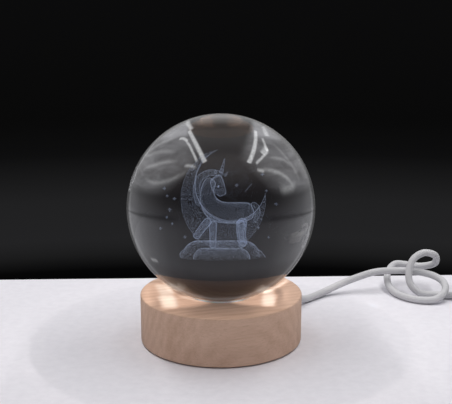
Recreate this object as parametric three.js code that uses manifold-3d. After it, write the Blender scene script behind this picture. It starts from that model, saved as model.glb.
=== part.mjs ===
// A solid glass ball, engraved inside, that rests in the seat of a round wooden light base.
// The base holds three light-emitting diodes under a lens. Its cord comes out at the back, lies in
// loose loops, passes an in-line rocker switch, is wound into a coil and ends in a flat power plug.
// Millimetres, +Z up. The origin is the centre of the base, on the surface that the base stands on.
// The photograph's viewer stands on the -Y side, with +X to the right.

import * as THREE from 'three';
import { mergeVertices } from 'three/addons/utils/BufferGeometryUtils.js';
import Module from 'manifold-3d';

const wasm = await Module();
wasm.setup();

// Ball
const ballDiameter = 80;
const ballSink = 2.4;
const ballAround = 48;
const ballRings = 32;

// Wooden base
const baseDiameter = 70;
const baseHeight = 20.5;
const edgeRound = 1;
const edgeSteps = 3;
const webThickness = 3.6;
const cavityDiameter = 36;
const lightWellDiameter = 22;
const baseSides = 60;

// Clearances, and the distance below which two corners are one
const seatGap = 0.3;
const fitGap = 0.3;
const bondGap = 0.1;
const overrun = 1;
const weldDistance = 1e-4;

// Lens
const lensThickness = 1.6;
const lensRimHeight = 0.5;
const lensRimWidth = 1.2;
const ballToLens = 0.6;

// Feet and bottom plate. The plate lies on a ledge wide enough for its screws and a margin round them.
const padCount = 4;
const padDiameter = 8;
const padHeight = 0.5;
const plateThickness = 2;
const plateScrewCount = 3;
const plateScrewMargin = 0.5;

// Heads of all screws: the cross sunk in them, and the shape of the domed ones
const driveSlotWidth = 0.5;
const driveSlotDepth = 0.5;
const driveSlotShare = 0.7;
const screwCrownShare = 0.8;
const screwSideShare = 0.4;

// Wood screws that hold the bottom plate
const plateScrewHeadDiameter = 4.4;
const plateScrewHeadHeight = 1.2;
const plateScrewShankDiameter = 2;
const plateScrewLength = 8;

// Light board
const boardThickness = 1.2;
const boardScrewCount = 2;
const boardScrewHeadDiameter = 3.6;
const boardScrewHeadHeight = 1.2;
const boardScrewShankDiameter = 1.6;
const boardScrewLength = 4.6;
const diodeCount = 3;
const diodeSide = 5;
const diodeHeight = 1.6;
const diodeDomeDiameter = 3.6;
const diodeDomeHeight = 0.3;
const diodeCircleDiameter = 11;
const resistorLength = 3.2;
const resistorWidth = 1.6;
const resistorHeight = 0.6;

// Cord, gland and the two leads inside the base
const cordDiameter = 3.5;
const cordSides = 8;
const cordStep = 8;
const loopStep = 4.7;
const cordStraight = 10.5;
const glandAzimuth = 48;
const glandHeight = 7;
const glandNeckDiameter = 5.2;
const glandBootLength = 9;
const glandTipDiameter = 4.4;
const glandFlangeDiameter = 7.4;
const glandFlangeThickness = 1.5;
const glandRidges = 4;
const glandRidgeDepth = 0.3;
const jacketEndLength = 4;
const leadDiameter = 1.3;
const leadSides = 6;
const leadSteps = 10;
const leadSpread = 2.2;
const leadPadReach = 9;
const leadPadSpread = 6;

// Coil of the put-away length
const coilCentreX = 151;
const coilCentreY = 60;
const coilOuterDiameter = 53;
const coilPitch = 4.1;
const coilLayers = 2;
const coilTurns = 7;
const coilStartDegrees = -20;
const coilEndDegrees = 180;
const coilSidesPerTurn = 24;
const coilTubeSides = 6;

// Twist tie round the coil
const tieThickness = 0.8;
const tieWidth = 4;
const tieGap = 0.4;
const tieTailLength = 9;
const tieTwistTurns = 2;
const tieTwistShare = 0.6;
const tieTailSteps = 12;

// In-line rocker switch
const switchCentreX = 121;
const switchCentreY = 10.5;
const switchLength = 54;
const switchWidth = 17;
const switchHeight = 13;
const switchEndWidth = 9.4;
const switchTaperLength = 12;
const switchWall = 1.4;
const switchRound = 1.2;
const switchSeam = 0.2;
const switchPostDiameter = 4.4;
const switchScrewHeadDiameter = 3.4;
const switchScrewHeadHeight = 1.2;
const switchScrewShankDiameter = 1.6;
const switchScrewLength = 8.6;
const rockerWidth = 8;
const rockerReach = 9.6;
const rockerEndHeight = 4.3;
const rockerMiddleHeight = 3.2;
const rockerSkirtDepth = 2.4;
const rockerPivotDepth = 2.8;
const rockerClearance = 0.4;
const trunnionDiameter = 2;
const trunnionLength = 1.6;
const earThickness = 1.5;
const earLength = 5;
const contactWidth = 2;
const contactLength = 6;
const contactThickness = 0.5;
const contactSpacing = 4.4;
const switchLeadDiameter = 1.1;

// Power plug
const plugCentreX = 139;
const plugTailY = 22;
const plugReliefLength = 10;
const plugReliefTipDiameter = 4.6;
const plugReliefRootDiameter = 6.4;
const plugReliefRidges = 4;
const plugReliefRidgeDepth = 0.4;
const plugBodyLength = 24;
const plugBodyWidth = 15.6;
const plugBodyHeight = 8;
const plugBodyRound = 1.2;
const plugCornerRadius = 2.4;
const shellWidth = 12;
const shellHeight = 4.5;
const shellWall = 0.4;
const shellCorner = 0.7;
const shellExposed = 12.5;
const shellEmbedded = 5;
const shellWindowSide = 2.2;
const shellWindowSpacing = 5;
const shellWindowFromTip = 6;
const tongueWidth = 10.6;
const tongueThickness = 1.8;
const tongueSetback = 0.6;
const plugContactCount = 4;
const plugContactWidth = 1;
const plugContactLength = 7.6;
const plugContactThickness = 0.25;
const plugContactPitchInner = 2;
const plugContactPitchOuter = 7;
const plugContactSetback = 1.2;

// Faces round the curved pieces
const cornerSteps = 4;
const rimSteps = 2;
const smallSides = 16;
const plateSides = 36;

const degrees = Math.PI / 180;
const halfTurn = Math.PI;
const fullTurn = 2 * Math.PI;

// Heights and radii that follow from the sizes above
const ballRadius = ballDiameter / 2;
const baseRadius = baseDiameter / 2;
const baseUnder = padHeight;
const baseTop = baseUnder + baseHeight;
const ballCentreZ = baseTop - ballSink + ballRadius;
const seatRadius = Math.sqrt((ballRadius + seatGap) ** 2 - (ballRadius - ballSink) ** 2);
const lensTop = baseTop - ballSink - ballToLens;
const lensUnder = lensTop - lensThickness;
const ledgeZ = lensUnder - fitGap;
const cavityTop = ledgeZ - webThickness;
const cavityRadius = cavityDiameter / 2;
const wellRadius = lightWellDiameter / 2;
const plateRadius = cavityRadius + plateScrewHeadDiameter + 2 * (fitGap + plateScrewMargin);
const recessRadius = plateRadius + fitGap;
const recessTop = baseUnder + plateThickness + fitGap;
const padCircle = (recessRadius + baseRadius) / 2;
const plateScrewCircle = (cavityRadius + plateRadius) / 2;
const plateScrewAzimuth = glandAzimuth + 180 / plateScrewCount;
const boardTop = cavityTop - fitGap;
const boardUnder = boardTop - boardThickness;
const boardRadius = cavityRadius - fitGap;
const boardScrewCircle = (wellRadius + boardRadius) / 2;
const boardScrewAzimuth = glandAzimuth + 90;
const cordRadius = cordDiameter / 2;
const glandMouth = baseRadius + glandBootLength;
const cordStart = glandMouth + fitGap;
const switchSplit = switchHeight / 2;
const rockerPivotZ = switchHeight - rockerPivotDepth;
const rockerEndReach = Math.sqrt(rockerReach ** 2 - rockerEndHeight ** 2);
const rockerTilt = Math.atan2(rockerEndHeight - rockerMiddleHeight, rockerEndReach);
const switchEndIn = switchCentreY + switchLength / 2;
const switchEndOut = switchCentreY - switchLength / 2;
const plugAxisZ = plugBodyHeight / 2;
const coilLift = tieThickness + tieGap;
const coilFloor = coilLift + cordRadius;
const coilRadius = coilOuterDiameter / 2;
const coilSweep = 360 * coilTurns + coilEndDegrees - coilStartDegrees;

const materials = {
  glass: [0xe8eef2, 0.02, 0],
  wood: [0xc9a27e, 0.55, 0],
  whitePlastic: [0xe9e9ea, 0.4, 0],
  frostedPlastic: [0xf2f2ee, 0.5, 0],
  blackPlate: [0x2b2b2c, 0.6, 0],
  rubber: [0x8d8f92, 0.8, 0],
  steel: [0xb9bbbe, 0.3, 0.9],
  brass: [0xc9a24a, 0.3, 0.9],
  board: [0xdfe3e0, 0.4, 0],
  phosphor: [0xf2d36b, 0.5, 0],
  ceramicBlack: [0x1c1c1e, 0.5, 0],
  leadRed: [0xb3261e, 0.4, 0],
  leadBlack: [0x1d1d1f, 0.4, 0],
};

const lamp = new THREE.Group();

// A closed three.js geometry as a solid, with doubled points merged and its faces turned outward.
function solid(geometry) {
  const bare = new THREE.BufferGeometry();
  bare.setAttribute('position', geometry.getAttribute('position').clone());
  if (geometry.index) bare.setIndex(geometry.index.clone());
  const merged = mergeVertices(bare, weldDistance);
  const at = merged.getAttribute('position');
  const corners = [];
  const [a, b, c] = [new THREE.Vector3(), new THREE.Vector3(), new THREE.Vector3()];
  let volume = 0;
  for (let i = 0; i < merged.index.count; i += 3) {
    const [p, q, r] = [0, 1, 2].map((k) => merged.index.getX(i + k));
    if (p === q || q === r || r === p) continue;
    corners.push([p, q, r]);
    a.fromBufferAttribute(at, p);
    b.fromBufferAttribute(at, q);
    c.fromBufferAttribute(at, r);
    volume += a.dot(b.cross(c));
  }
  const turned = corners.flatMap(([p, q, r]) => (volume < 0 ? [p, r, q] : [p, q, r]));
  return new wasm.Manifold(new wasm.Mesh({
    numProp: 3,
    vertProperties: new Float32Array(at.array),
    triVerts: new Uint32Array(turned),
  }));
}

// Adds a named sub-part to a group. Its shape is a solid, and its finish is one of the materials.
function addPart(name, shape, finish, group = lamp) {
  const mesh = shape.getMesh();
  const geometry = new THREE.BufferGeometry();
  geometry.setAttribute('position', new THREE.BufferAttribute(mesh.vertProperties, 3));
  geometry.setIndex(new THREE.BufferAttribute(mesh.triVerts, 1));
  geometry.computeVertexNormals();
  const [color, roughness, metalness] = materials[finish];
  const material = new THREE.MeshStandardMaterial({ color, roughness, metalness });
  const part = new THREE.Mesh(geometry, material);
  part.name = name;
  group.add(part);
  return part;
}

// A round solid turned about +Z from [radius, height] points that start and end on the axis.
function turned(points, sides = smallSides) {
  const profile = points.map(([r, z]) => new THREE.Vector2(r, z));
  return solid(new THREE.LatheGeometry(profile, sides).rotateX(halfTurn / 2));
}

// A cylinder about +Z between two heights, at x, y.
function rod(diameter, low, high, x = 0, y = 0, sides = smallSides) {
  const shape = new THREE.CylinderGeometry(diameter / 2, diameter / 2, high - low, sides);
  return solid(shape.rotateX(halfTurn / 2).translate(x, y, (low + high) / 2));
}

// A cylinder about +X between two places, at height z.
function rodAlongX(diameter, from, to, y, z, sides = smallSides) {
  const shape = new THREE.CylinderGeometry(diameter / 2, diameter / 2, to - from, sides);
  return solid(shape.rotateZ(halfTurn / 2).translate((from + to) / 2, y, z));
}

// A box given by its lowest and highest corners.
function block([x0, y0, z0], [x1, y1, z1]) {
  const shape = new THREE.BoxGeometry(x1 - x0, y1 - y0, z1 - z0);
  return solid(shape.translate((x0 + x1) / 2, (y0 + y1) / 2, (z0 + z1) / 2));
}

// A flat outline raised from low to high, with both rims rounded by round.
function raised(outline, low, high, round = 0) {
  const shape = new THREE.ExtrudeGeometry(outline, {
    depth: high - low - 2 * round,
    bevelEnabled: round > 0,
    bevelThickness: round,
    bevelSize: round,
    bevelOffset: -round,
    bevelSegments: rimSteps,
    curveSegments: cornerSteps,
  });
  return solid(shape.translate(0, 0, low + round));
}

// A round section swept along a curve, in so many steps.
function swept(curve, diameter, sides, steps) {
  const section = new THREE.Shape();
  for (let i = 0; i < sides; i += 1) {
    const turn = fullTurn * (i / sides);
    const [x, y] = [diameter / 2 * Math.cos(turn), diameter / 2 * Math.sin(turn)];
    if (i === 0) section.moveTo(x, y);
    else section.lineTo(x, y);
  }
  section.closePath();
  const shape = new THREE.ExtrudeGeometry(section, { steps, extrudePath: curve, bevelEnabled: false });
  return solid(shape);
}

// A smooth curve through points given as [x, y, z].
function through(points) {
  return new THREE.CatmullRomCurve3(points.map((p) => new THREE.Vector3(...p)), false, 'centripetal');
}

// Where something stands on a circle about the base's axis.
function onCircle(radius, azimuth) {
  return [radius * Math.cos(azimuth * degrees), radius * Math.sin(azimuth * degrees)];
}

// Points of a quarter arc from one direction to the next, about a centre.
function arc(centreR, centreZ, radius, fromDegrees, toDegrees, steps = edgeSteps) {
  return Array.from({ length: steps + 1 }, (unused, i) => {
    const turn = (fromDegrees + (toDegrees - fromDegrees) * i / steps) * degrees;
    return [centreR + radius * Math.cos(turn), centreZ + radius * Math.sin(turn)];
  });
}

// Where the corners of one ridge lie along its pitch. Past the second, its groove begins.
const ridgeShares = [0, 0.5, 0.6, 0.9];

// A profile with grooves cut into it, from a root radius to a tip radius, along its own length.
function ridged(rootRadius, tipRadius, from, to, ridges, depth) {
  const points = [];
  for (let i = 0; i < ridges; i += 1) {
    const along = (share) => from + (to - from) * (i + share) / ridges;
    const radiusAt = (z) => rootRadius + (tipRadius - rootRadius) * (z - from) / (to - from);
    ridgeShares.forEach((share, k) => {
      points.push([radiusAt(along(share)) - (k > 1 ? depth : 0), along(share)]);
    });
  }
  points.push([tipRadius, to]);
  return points;
}

function addBall() {
  const ball = new THREE.SphereGeometry(ballRadius, ballAround, ballRings);
  addPart('glass_ball', solid(ball.rotateX(halfTurn / 2).translate(0, 0, ballCentreZ)), 'glass');
}

// The base is turned from one piece of wood: seat and lens ledge above, cavity and plate recess below.
function addWoodBase() {
  const topEdge = arc(baseRadius - edgeRound, baseTop - edgeRound, edgeRound, 90, 0);
  const lowEdge = arc(baseRadius - edgeRound, baseUnder + edgeRound, edgeRound, 0, -90);
  let wood = turned([
    [seatRadius, baseTop],
    ...topEdge,
    ...lowEdge,
    [recessRadius, baseUnder],
    [recessRadius, recessTop],
    [cavityRadius, recessTop],
    [cavityRadius, cavityTop],
    [wellRadius, cavityTop],
    [wellRadius, ledgeZ],
    [seatRadius, ledgeZ],
    [seatRadius, baseTop],
  ], baseSides);
  const channel = rodAlongX(glandNeckDiameter + 2 * fitGap, cavityRadius - overrun, baseRadius + overrun,
    0, glandHeight);
  wood = wood.subtract(channel.rotate([0, 0, glandAzimuth]));
  for (let i = 0; i < plateScrewCount; i += 1) {
    const [x, y] = onCircle(plateScrewCircle, plateScrewAzimuth + 360 * i / plateScrewCount);
    const top = baseUnder + plateScrewLength + fitGap;
    wood = wood.subtract(rod(plateScrewShankDiameter + 2 * fitGap, baseUnder, top, x, y));
  }
  for (let i = 0; i < boardScrewCount; i += 1) {
    const [x, y] = onCircle(boardScrewCircle, boardScrewAzimuth + 360 * i / boardScrewCount);
    const top = boardUnder + boardScrewLength + fitGap;
    wood = wood.subtract(rod(boardScrewShankDiameter + 2 * fitGap, cavityTop - overrun, top, x, y));
  }
  addPart('wood_base', wood, 'wood');
}

// The lens drops into the seat from above and lies on the ledge, with a low rim round it.
function addLens() {
  const radius = seatRadius - fitGap;
  addPart('light_lens', turned([
    [0, lensUnder],
    [radius, lensUnder],
    [radius, lensTop],
    [radius - lensRimWidth, lensTop],
    [radius - lensRimWidth, lensTop - lensRimHeight],
    [0, lensTop - lensRimHeight],
  ], plateSides), 'frostedPlastic');
}

// A screw seen from below: its head is down, its shank is up, and a cross is sunk in the head.
function screw(headDiameter, headHeight, shankDiameter, length, countersunk = false) {
  const [head, shank] = [headDiameter / 2, shankDiameter / 2];
  const body = turned([
    [0, 0],
    [countersunk ? head : head * screwCrownShare, 0],
    [head, countersunk ? 0 : headHeight * screwSideShare],
    [countersunk ? shank : head, headHeight],
    [shank, headHeight],
    [shank, length - shank],
    [0, length],
  ]);
  const [reach, half] = [head * driveSlotShare, driveSlotWidth / 2];
  const across = block([-reach, -half, -overrun], [reach, half, driveSlotDepth]);
  const along = block([-half, -reach, -overrun], [half, reach, driveSlotDepth]);
  return body.subtract(across.add(along));
}

// A plain disc closes the cavity. Its screw holes are sunk for flat heads.
function addBottomPlate() {
  const [head, shank] = [plateScrewHeadDiameter / 2 + fitGap, plateScrewShankDiameter / 2 + fitGap];
  let plate = rod(2 * plateRadius, baseUnder, baseUnder + plateThickness, 0, 0, plateSides);
  for (let i = 0; i < plateScrewCount; i += 1) {
    const [x, y] = onCircle(plateScrewCircle, plateScrewAzimuth + 360 * i / plateScrewCount);
    const hole = turned([
      [0, baseUnder - overrun],
      [head, baseUnder - overrun],
      [head, baseUnder + fitGap],
      [shank, baseUnder + plateScrewHeadHeight + fitGap],
      [shank, baseUnder + plateThickness + overrun],
      [0, baseUnder + plateThickness + overrun],
    ]).translate([x, y, 0]);
    plate = plate.subtract(hole);
    const fixing = screw(plateScrewHeadDiameter, plateScrewHeadHeight, plateScrewShankDiameter,
      plateScrewLength, true).translate([x, y, baseUnder]);
    addPart(`plate_screw_${i + 1}`, fixing, 'steel');
  }
  addPart('bottom_plate', plate, 'blackPlate');
}

function addFootPads() {
  for (let i = 0; i < padCount; i += 1) {
    const [x, y] = onCircle(padCircle, 360 * i / padCount);
    addPart(`foot_pad_${i + 1}`, rod(padDiameter, 0, padHeight - bondGap, x, y), 'rubber');
  }
}

// A round board under the light well, with three diodes and their resistors on top.
function addLightBoard() {
  let board = rod(2 * boardRadius, boardUnder, boardTop, 0, 0, plateSides);
  const holeDiameter = boardScrewShankDiameter + 2 * fitGap;
  for (let i = 0; i < boardScrewCount; i += 1) {
    const [x, y] = onCircle(boardScrewCircle, boardScrewAzimuth + 360 * i / boardScrewCount);
    board = board.subtract(rod(holeDiameter, boardUnder - overrun, boardTop + overrun, x, y));
    const low = boardUnder - boardScrewHeadHeight - bondGap;
    const fixing = screw(boardScrewHeadDiameter, boardScrewHeadHeight, boardScrewShankDiameter,
      boardScrewLength + boardScrewHeadHeight).translate([x, y, low]);
    addPart(`board_screw_${i + 1}`, fixing, 'steel');
  }
  addPart('led_board', board, 'board');
  const floor = boardTop + bondGap;
  for (let i = 0; i < diodeCount; i += 1) {
    const turn = 90 + 360 * i / diodeCount;
    const [x, y] = onCircle(diodeCircleDiameter / 2, turn);
    const half = diodeSide / 2;
    const body = block([-half, -half, floor], [half, half, floor + diodeHeight]);
    const dome = rod(diodeDomeDiameter, floor, floor + diodeHeight + diodeDomeHeight);
    addPart(`led_${i + 1}`, body.add(dome).rotate([0, 0, turn]).translate([x, y, 0]), 'phosphor');
    const between = turn + 180 / diodeCount;
    const [u, v] = onCircle(diodeCircleDiameter / 2, between);
    const resistor = block([-resistorWidth / 2, -resistorLength / 2, floor],
      [resistorWidth / 2, resistorLength / 2, floor + resistorHeight]);
    addPart(`resistor_${i + 1}`, resistor.rotate([0, 0, between]).translate([u, v, 0]), 'ceramicBlack');
  }
}

// The gland is moulded on the cord: a flange inside the wall, a neck in it and a ridged boot outside.
// Inside, the jacket ends and two leads rise to the underside of the board. Built along +X and turned.
function addGlandAndLeads() {
  const gland = new THREE.Group();
  gland.rotation.z = glandAzimuth * degrees;
  gland.position.z = glandHeight;
  lamp.add(gland);
  const flangeRadius = glandFlangeDiameter / 2;
  const flangeOuter = Math.sqrt(cavityRadius ** 2 - flangeRadius ** 2) - fitGap;
  const flangeInner = flangeOuter - glandFlangeThickness;
  const neck = glandNeckDiameter / 2;
  const boot = ridged(neck, glandTipDiameter / 2, baseRadius + fitGap, glandMouth, glandRidges,
    glandRidgeDepth);
  const moulding = turned([
    [0, flangeInner],
    [flangeRadius, flangeInner],
    [flangeRadius, flangeOuter],
    [neck, flangeOuter],
    ...boot,
    [0, glandMouth],
  ]);
  addPart('cord_gland', moulding.rotate([0, 90, 0]), 'whitePlastic', gland);
  const jacketFrom = flangeInner - fitGap - jacketEndLength;
  const jacket = rodAlongX(cordDiameter, jacketFrom, jacketFrom + jacketEndLength, 0, 0);
  addPart('jacket_end', jacket, 'whitePlastic', gland);
  const leads = [['lead_positive', 1, 'leadRed'], ['lead_negative', -1, 'leadBlack']];
  for (const [name, side, finish] of leads) {
    const start = jacketFrom - fitGap;
    const top = boardUnder - glandHeight - bondGap;
    const path = through([
      [start, side * (leadDiameter + fitGap) / 2, 0],
      [start - leadSpread, side * leadSpread / 2, 0],
      [(start - leadPadReach) / 2, side * leadPadSpread / 2, -leadSpread / 2],
      [-leadPadReach + leadSpread / 2, side * leadPadSpread / 2, 0],
      [-leadPadReach, side * leadPadSpread / 2, top / 2],
      [-leadPadReach, side * leadPadSpread / 2, top],
    ]);
    addPart(name, swept(path, leadDiameter, leadSides, leadSteps), finish, gland);
  }
}

// The cord's route from the gland to the switch, by hand: down to the table, up over its own loops,
// round to the front, back under itself, over an arch and down a standing loop.
const [mouthX, mouthY] = onCircle(cordStart, glandAzimuth);
const [outX, outY] = onCircle(cordStart + cordDiameter, glandAzimuth);
const runPoints = [
  [mouthX, mouthY, glandHeight],
  [outX, outY, glandHeight],
  [35.9, 39.6, 4.4],
  [40.6, 44.6, 2.2],
  [45.4, 49.8, 1.8],
  [51.9, 55.5, 2.6],
  [60.2, 59.6, 5.1],
  [69, 62, 7.8],
  [77.2, 63.6, 9.8],
  [86.5, 64.3, 10.3],
  [96, 63.6, 10.2],
  [104.6, 60.6, 9.4],
  [109.6, 55.2, 7.6],
  [109.4, 48.6, 5],
  [104, 43.6, 2.4],
  [96.4, 44, 1.8],
  [90, 48.6, 1.75],
  [85.9, 55.6, 1.9],
  [84.1, 64.4, 3.6],
  [85.1, 71.4, 6.9],
  [89.4, 76.2, 10.1],
  [95.5, 75.6, 10],
  [102.6, 72.4, 10.2],
  [108.4, 68.8, 13],
  [107.4, 65.2, 18],
  [101.4, 63.2, 20],
  [96, 61.4, 17.4],
  [93.3, 58.8, 12],
  [93.8, 55.9, 6],
  [98, 53.6, 2.2],
  [105, 52, 1.75],
  [113, 50.2, 2.1],
  [119.4, 46, 4.6],
  [switchCentreX, switchEndIn + cordDiameter, switchSplit],
  [switchCentreX, switchEndIn - cordDiameter, switchSplit],
];

// From the switch the cord turns back, and meets the coil at its outer turn on the far right.
const returnPoints = [
  [switchCentreX, switchEndOut + cordDiameter, switchSplit],
  [switchCentreX, switchEndOut - cordDiameter, switchSplit],
  [123.4, -26.8, 3.4],
  [130.6, -35, 1.8],
  [141.6, -36.6, 1.8],
  [150.6, -29.6, 1.8],
  [153.6, -16, 1.8],
  [156, 4, 1.9],
  [162, 26, 2.4],
];

// From the top of the coil the cord comes down to the plug.
const tailPoints = [
  [127.2, 38.6, 6.2],
  [134, 31.4, 4.4],
];

// The coil's centreline: spirals in and out again, climbing a layer where the spiral reverses.
function coilPoints() {
  const layerSweep = coilSweep / coilLayers;
  const steps = Math.round(coilSweep / 360 * coilSidesPerTurn);
  return Array.from({ length: steps + 1 }, (unused, i) => {
    const turn = coilSweep * i / steps;
    const layer = Math.min(Math.floor(turn / layerSweep), coilLayers - 1);
    const within = (turn - layer * layerSweep) / 360;
    const inward = layer % 2 === 0 ? within : layerSweep / 360 - within;
    const radius = coilRadius - coilPitch * inward;
    const fromClimb = Math.abs(turn - Math.round(turn / layerSweep) * layerSweep);
    const nearest = Math.round(turn / layerSweep);
    const climbing = nearest > 0 && nearest < coilLayers && fromClimb < 90;
    const share = climbing ? (turn - nearest * layerSweep + 90) / 180 : 0;
    const level = climbing ? nearest - 1 + share * share * (3 - 2 * share) : layer;
    const [x, y] = onCircle(radius, coilStartDegrees + turn);
    return [coilCentreX + x, coilCentreY + y, coilFloor + coilPitch * level];
  });
}

// The least distance between two strands of a path, less the cord's diameter.
// Points that lie less than spread apart along the path don't count.
function leastGap(curve, diameter, spread) {
  const count = Math.ceil(curve.getLength() / (diameter / 3));
  const points = curve.getSpacedPoints(count);
  const apart = Math.ceil(spread / (curve.getLength() / count));
  let least = Infinity;
  for (let i = 0; i < points.length; i += 1) {
    for (let j = i + apart; j < points.length; j += 1) {
      least = Math.min(least, points[i].distanceTo(points[j]));
    }
  }
  return least - diameter;
}

function addCord() {
  const coil = coilPoints();
  const startTurn = coilStartDegrees * degrees;
  const endTurn = coilEndDegrees * degrees;
  const first = coil[0];
  const last = coil[coil.length - 1];
  const straight = ([x, y, z], turn, reach) => [x - reach * Math.sin(turn), y + reach * Math.cos(turn), z];
  const coilIn = straight(first, startTurn, -cordDiameter);
  const coilOut = straight(last, endTurn, cordDiameter);
  const run = through(runPoints);
  const winding = through([coilIn, ...coil, coilOut]);
  const back = through([
    ...returnPoints,
    straight(first, startTurn, -cordStraight),
    straight(first, startTurn, -cordDiameter - fitGap),
  ]);
  const tail = through([
    straight(last, endTurn, cordDiameter + fitGap),
    straight(last, endTurn, cordStraight),
    ...tailPoints,
    [plugCentreX, plugTailY + cordDiameter, plugAxisZ],
    [plugCentreX, plugTailY + fitGap, plugAxisZ],
  ]);
  const steps = (curve, length) => Math.round(curve.getLength() / length);
  addPart('cord_run', swept(run, cordDiameter, cordSides, steps(run, loopStep)), 'whitePlastic');
  addPart('cord_return', swept(back, cordDiameter, cordSides, steps(back, cordStep)), 'whitePlastic');
  addPart('cord_coil', swept(winding, cordDiameter, coilTubeSides, coil.length + 1), 'whitePlastic');
  addPart('cord_tail', swept(tail, cordDiameter, cordSides, steps(tail, cordStep)), 'whitePlastic');
  const inSwitch = switchLength - 2 * cordDiameter;
  const lengths = [run, back, winding, tail].map((curve) => curve.getLength());
  const total = lengths.reduce((sum, length) => sum + length, inSwitch);
  const stretches = lengths.map((length) => length.toFixed(1));
  console.log(`cord stretches ${stretches} mm, in all ${total.toFixed(1)} mm`);
  for (const [name, curve] of [['coil', winding], ['run', run]]) {
    const gap = leastGap(curve, cordDiameter, 2 * cordStraight);
    console.log(`least gap of the ${name} to itself ${gap.toFixed(2)} mm`);
  }
}

// A covered wire tie goes round the coil's turns on the near side, with its two ends twisted outside.
function addCoilTie() {
  const inner = coilRadius - coilPitch * coilSweep / 360 / coilLayers;
  const near = inner - cordRadius - tieGap;
  const far = coilRadius + cordRadius + tieGap;
  const low = tieThickness;
  const high = coilFloor + coilPitch * (coilLayers - 1) + cordRadius + tieGap;
  const half = tieWidth / 2;
  const around = block([near - tieThickness, -half, 0], [far + tieThickness, half, high + tieThickness]);
  const band = around.subtract(block([near, -tieWidth, low], [far, tieWidth, high]));
  const tails = [0, halfTurn].map((phase) => {
    const points = Array.from({ length: tieTailSteps + 1 }, (unused, i) => {
      const turn = phase + fullTurn * tieTwistTurns * i / tieTailSteps;
      return [
        far + tieThickness / 2 + tieTailLength * i / tieTailSteps,
        tieThickness * tieTwistShare * Math.cos(turn),
        high / 2 + tieThickness * tieTwistShare * Math.sin(turn),
      ];
    });
    return swept(through(points), tieThickness, leadSides, tieTailSteps);
  });
  const tie = band.add(tails[0]).add(tails[1]);
  addPart('coil_tie', tie.rotate([0, 0, -90]).translate([coilCentreX, coilCentreY, 0]), 'blackPlate');
}

// The switch's outline seen from above: straight sides that draw in to narrower ends.
function switchOutline(inset) {
  const [halfWidth, halfLength] = [switchWidth / 2 - inset, switchLength / 2 - inset];
  const endWidth = switchEndWidth / 2 - inset;
  const bend = halfLength - switchTaperLength;
  const outline = new THREE.Shape();
  outline.moveTo(halfWidth, -bend);
  outline.lineTo(halfWidth, bend);
  outline.quadraticCurveTo(halfWidth, (bend + halfLength) / 2, endWidth, halfLength);
  outline.lineTo(-endWidth, halfLength);
  outline.quadraticCurveTo(-halfWidth, (bend + halfLength) / 2, -halfWidth, bend);
  outline.lineTo(-halfWidth, -bend);
  outline.quadraticCurveTo(-halfWidth, -(bend + halfLength) / 2, -endWidth, -halfLength);
  outline.lineTo(endWidth, -halfLength);
  outline.quadraticCurveTo(halfWidth, -(bend + halfLength) / 2, halfWidth, -bend);
  return outline;
}

// The rocker's side view about its pivot: two faces that meet in a shallow valley, with round ends
// and a flat skirt.
function rockerBody() {
  const top = Math.asin(rockerEndHeight / rockerReach);
  const low = -Math.asin(rockerSkirtDepth / rockerReach);
  const outline = new THREE.Shape();
  outline.moveTo(0, rockerMiddleHeight);
  outline.lineTo(rockerEndReach, rockerEndHeight);
  outline.absarc(0, 0, rockerReach, top, low, true);
  outline.absarc(0, 0, rockerReach, halfTurn - low, halfTurn - top, true);
  outline.lineTo(0, rockerMiddleHeight);
  const body = solid(new THREE.ExtrudeGeometry(outline, {
    depth: rockerWidth,
    bevelEnabled: false,
    curveSegments: cornerSteps,
  }).translate(0, 0, -rockerWidth / 2));
  const upright = body.rotate([90, 0, 90]);
  const half = rockerWidth / 2 + trunnionLength;
  return upright.add(rodAlongX(trunnionDiameter, -half, half, 0, 0));
}

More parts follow.
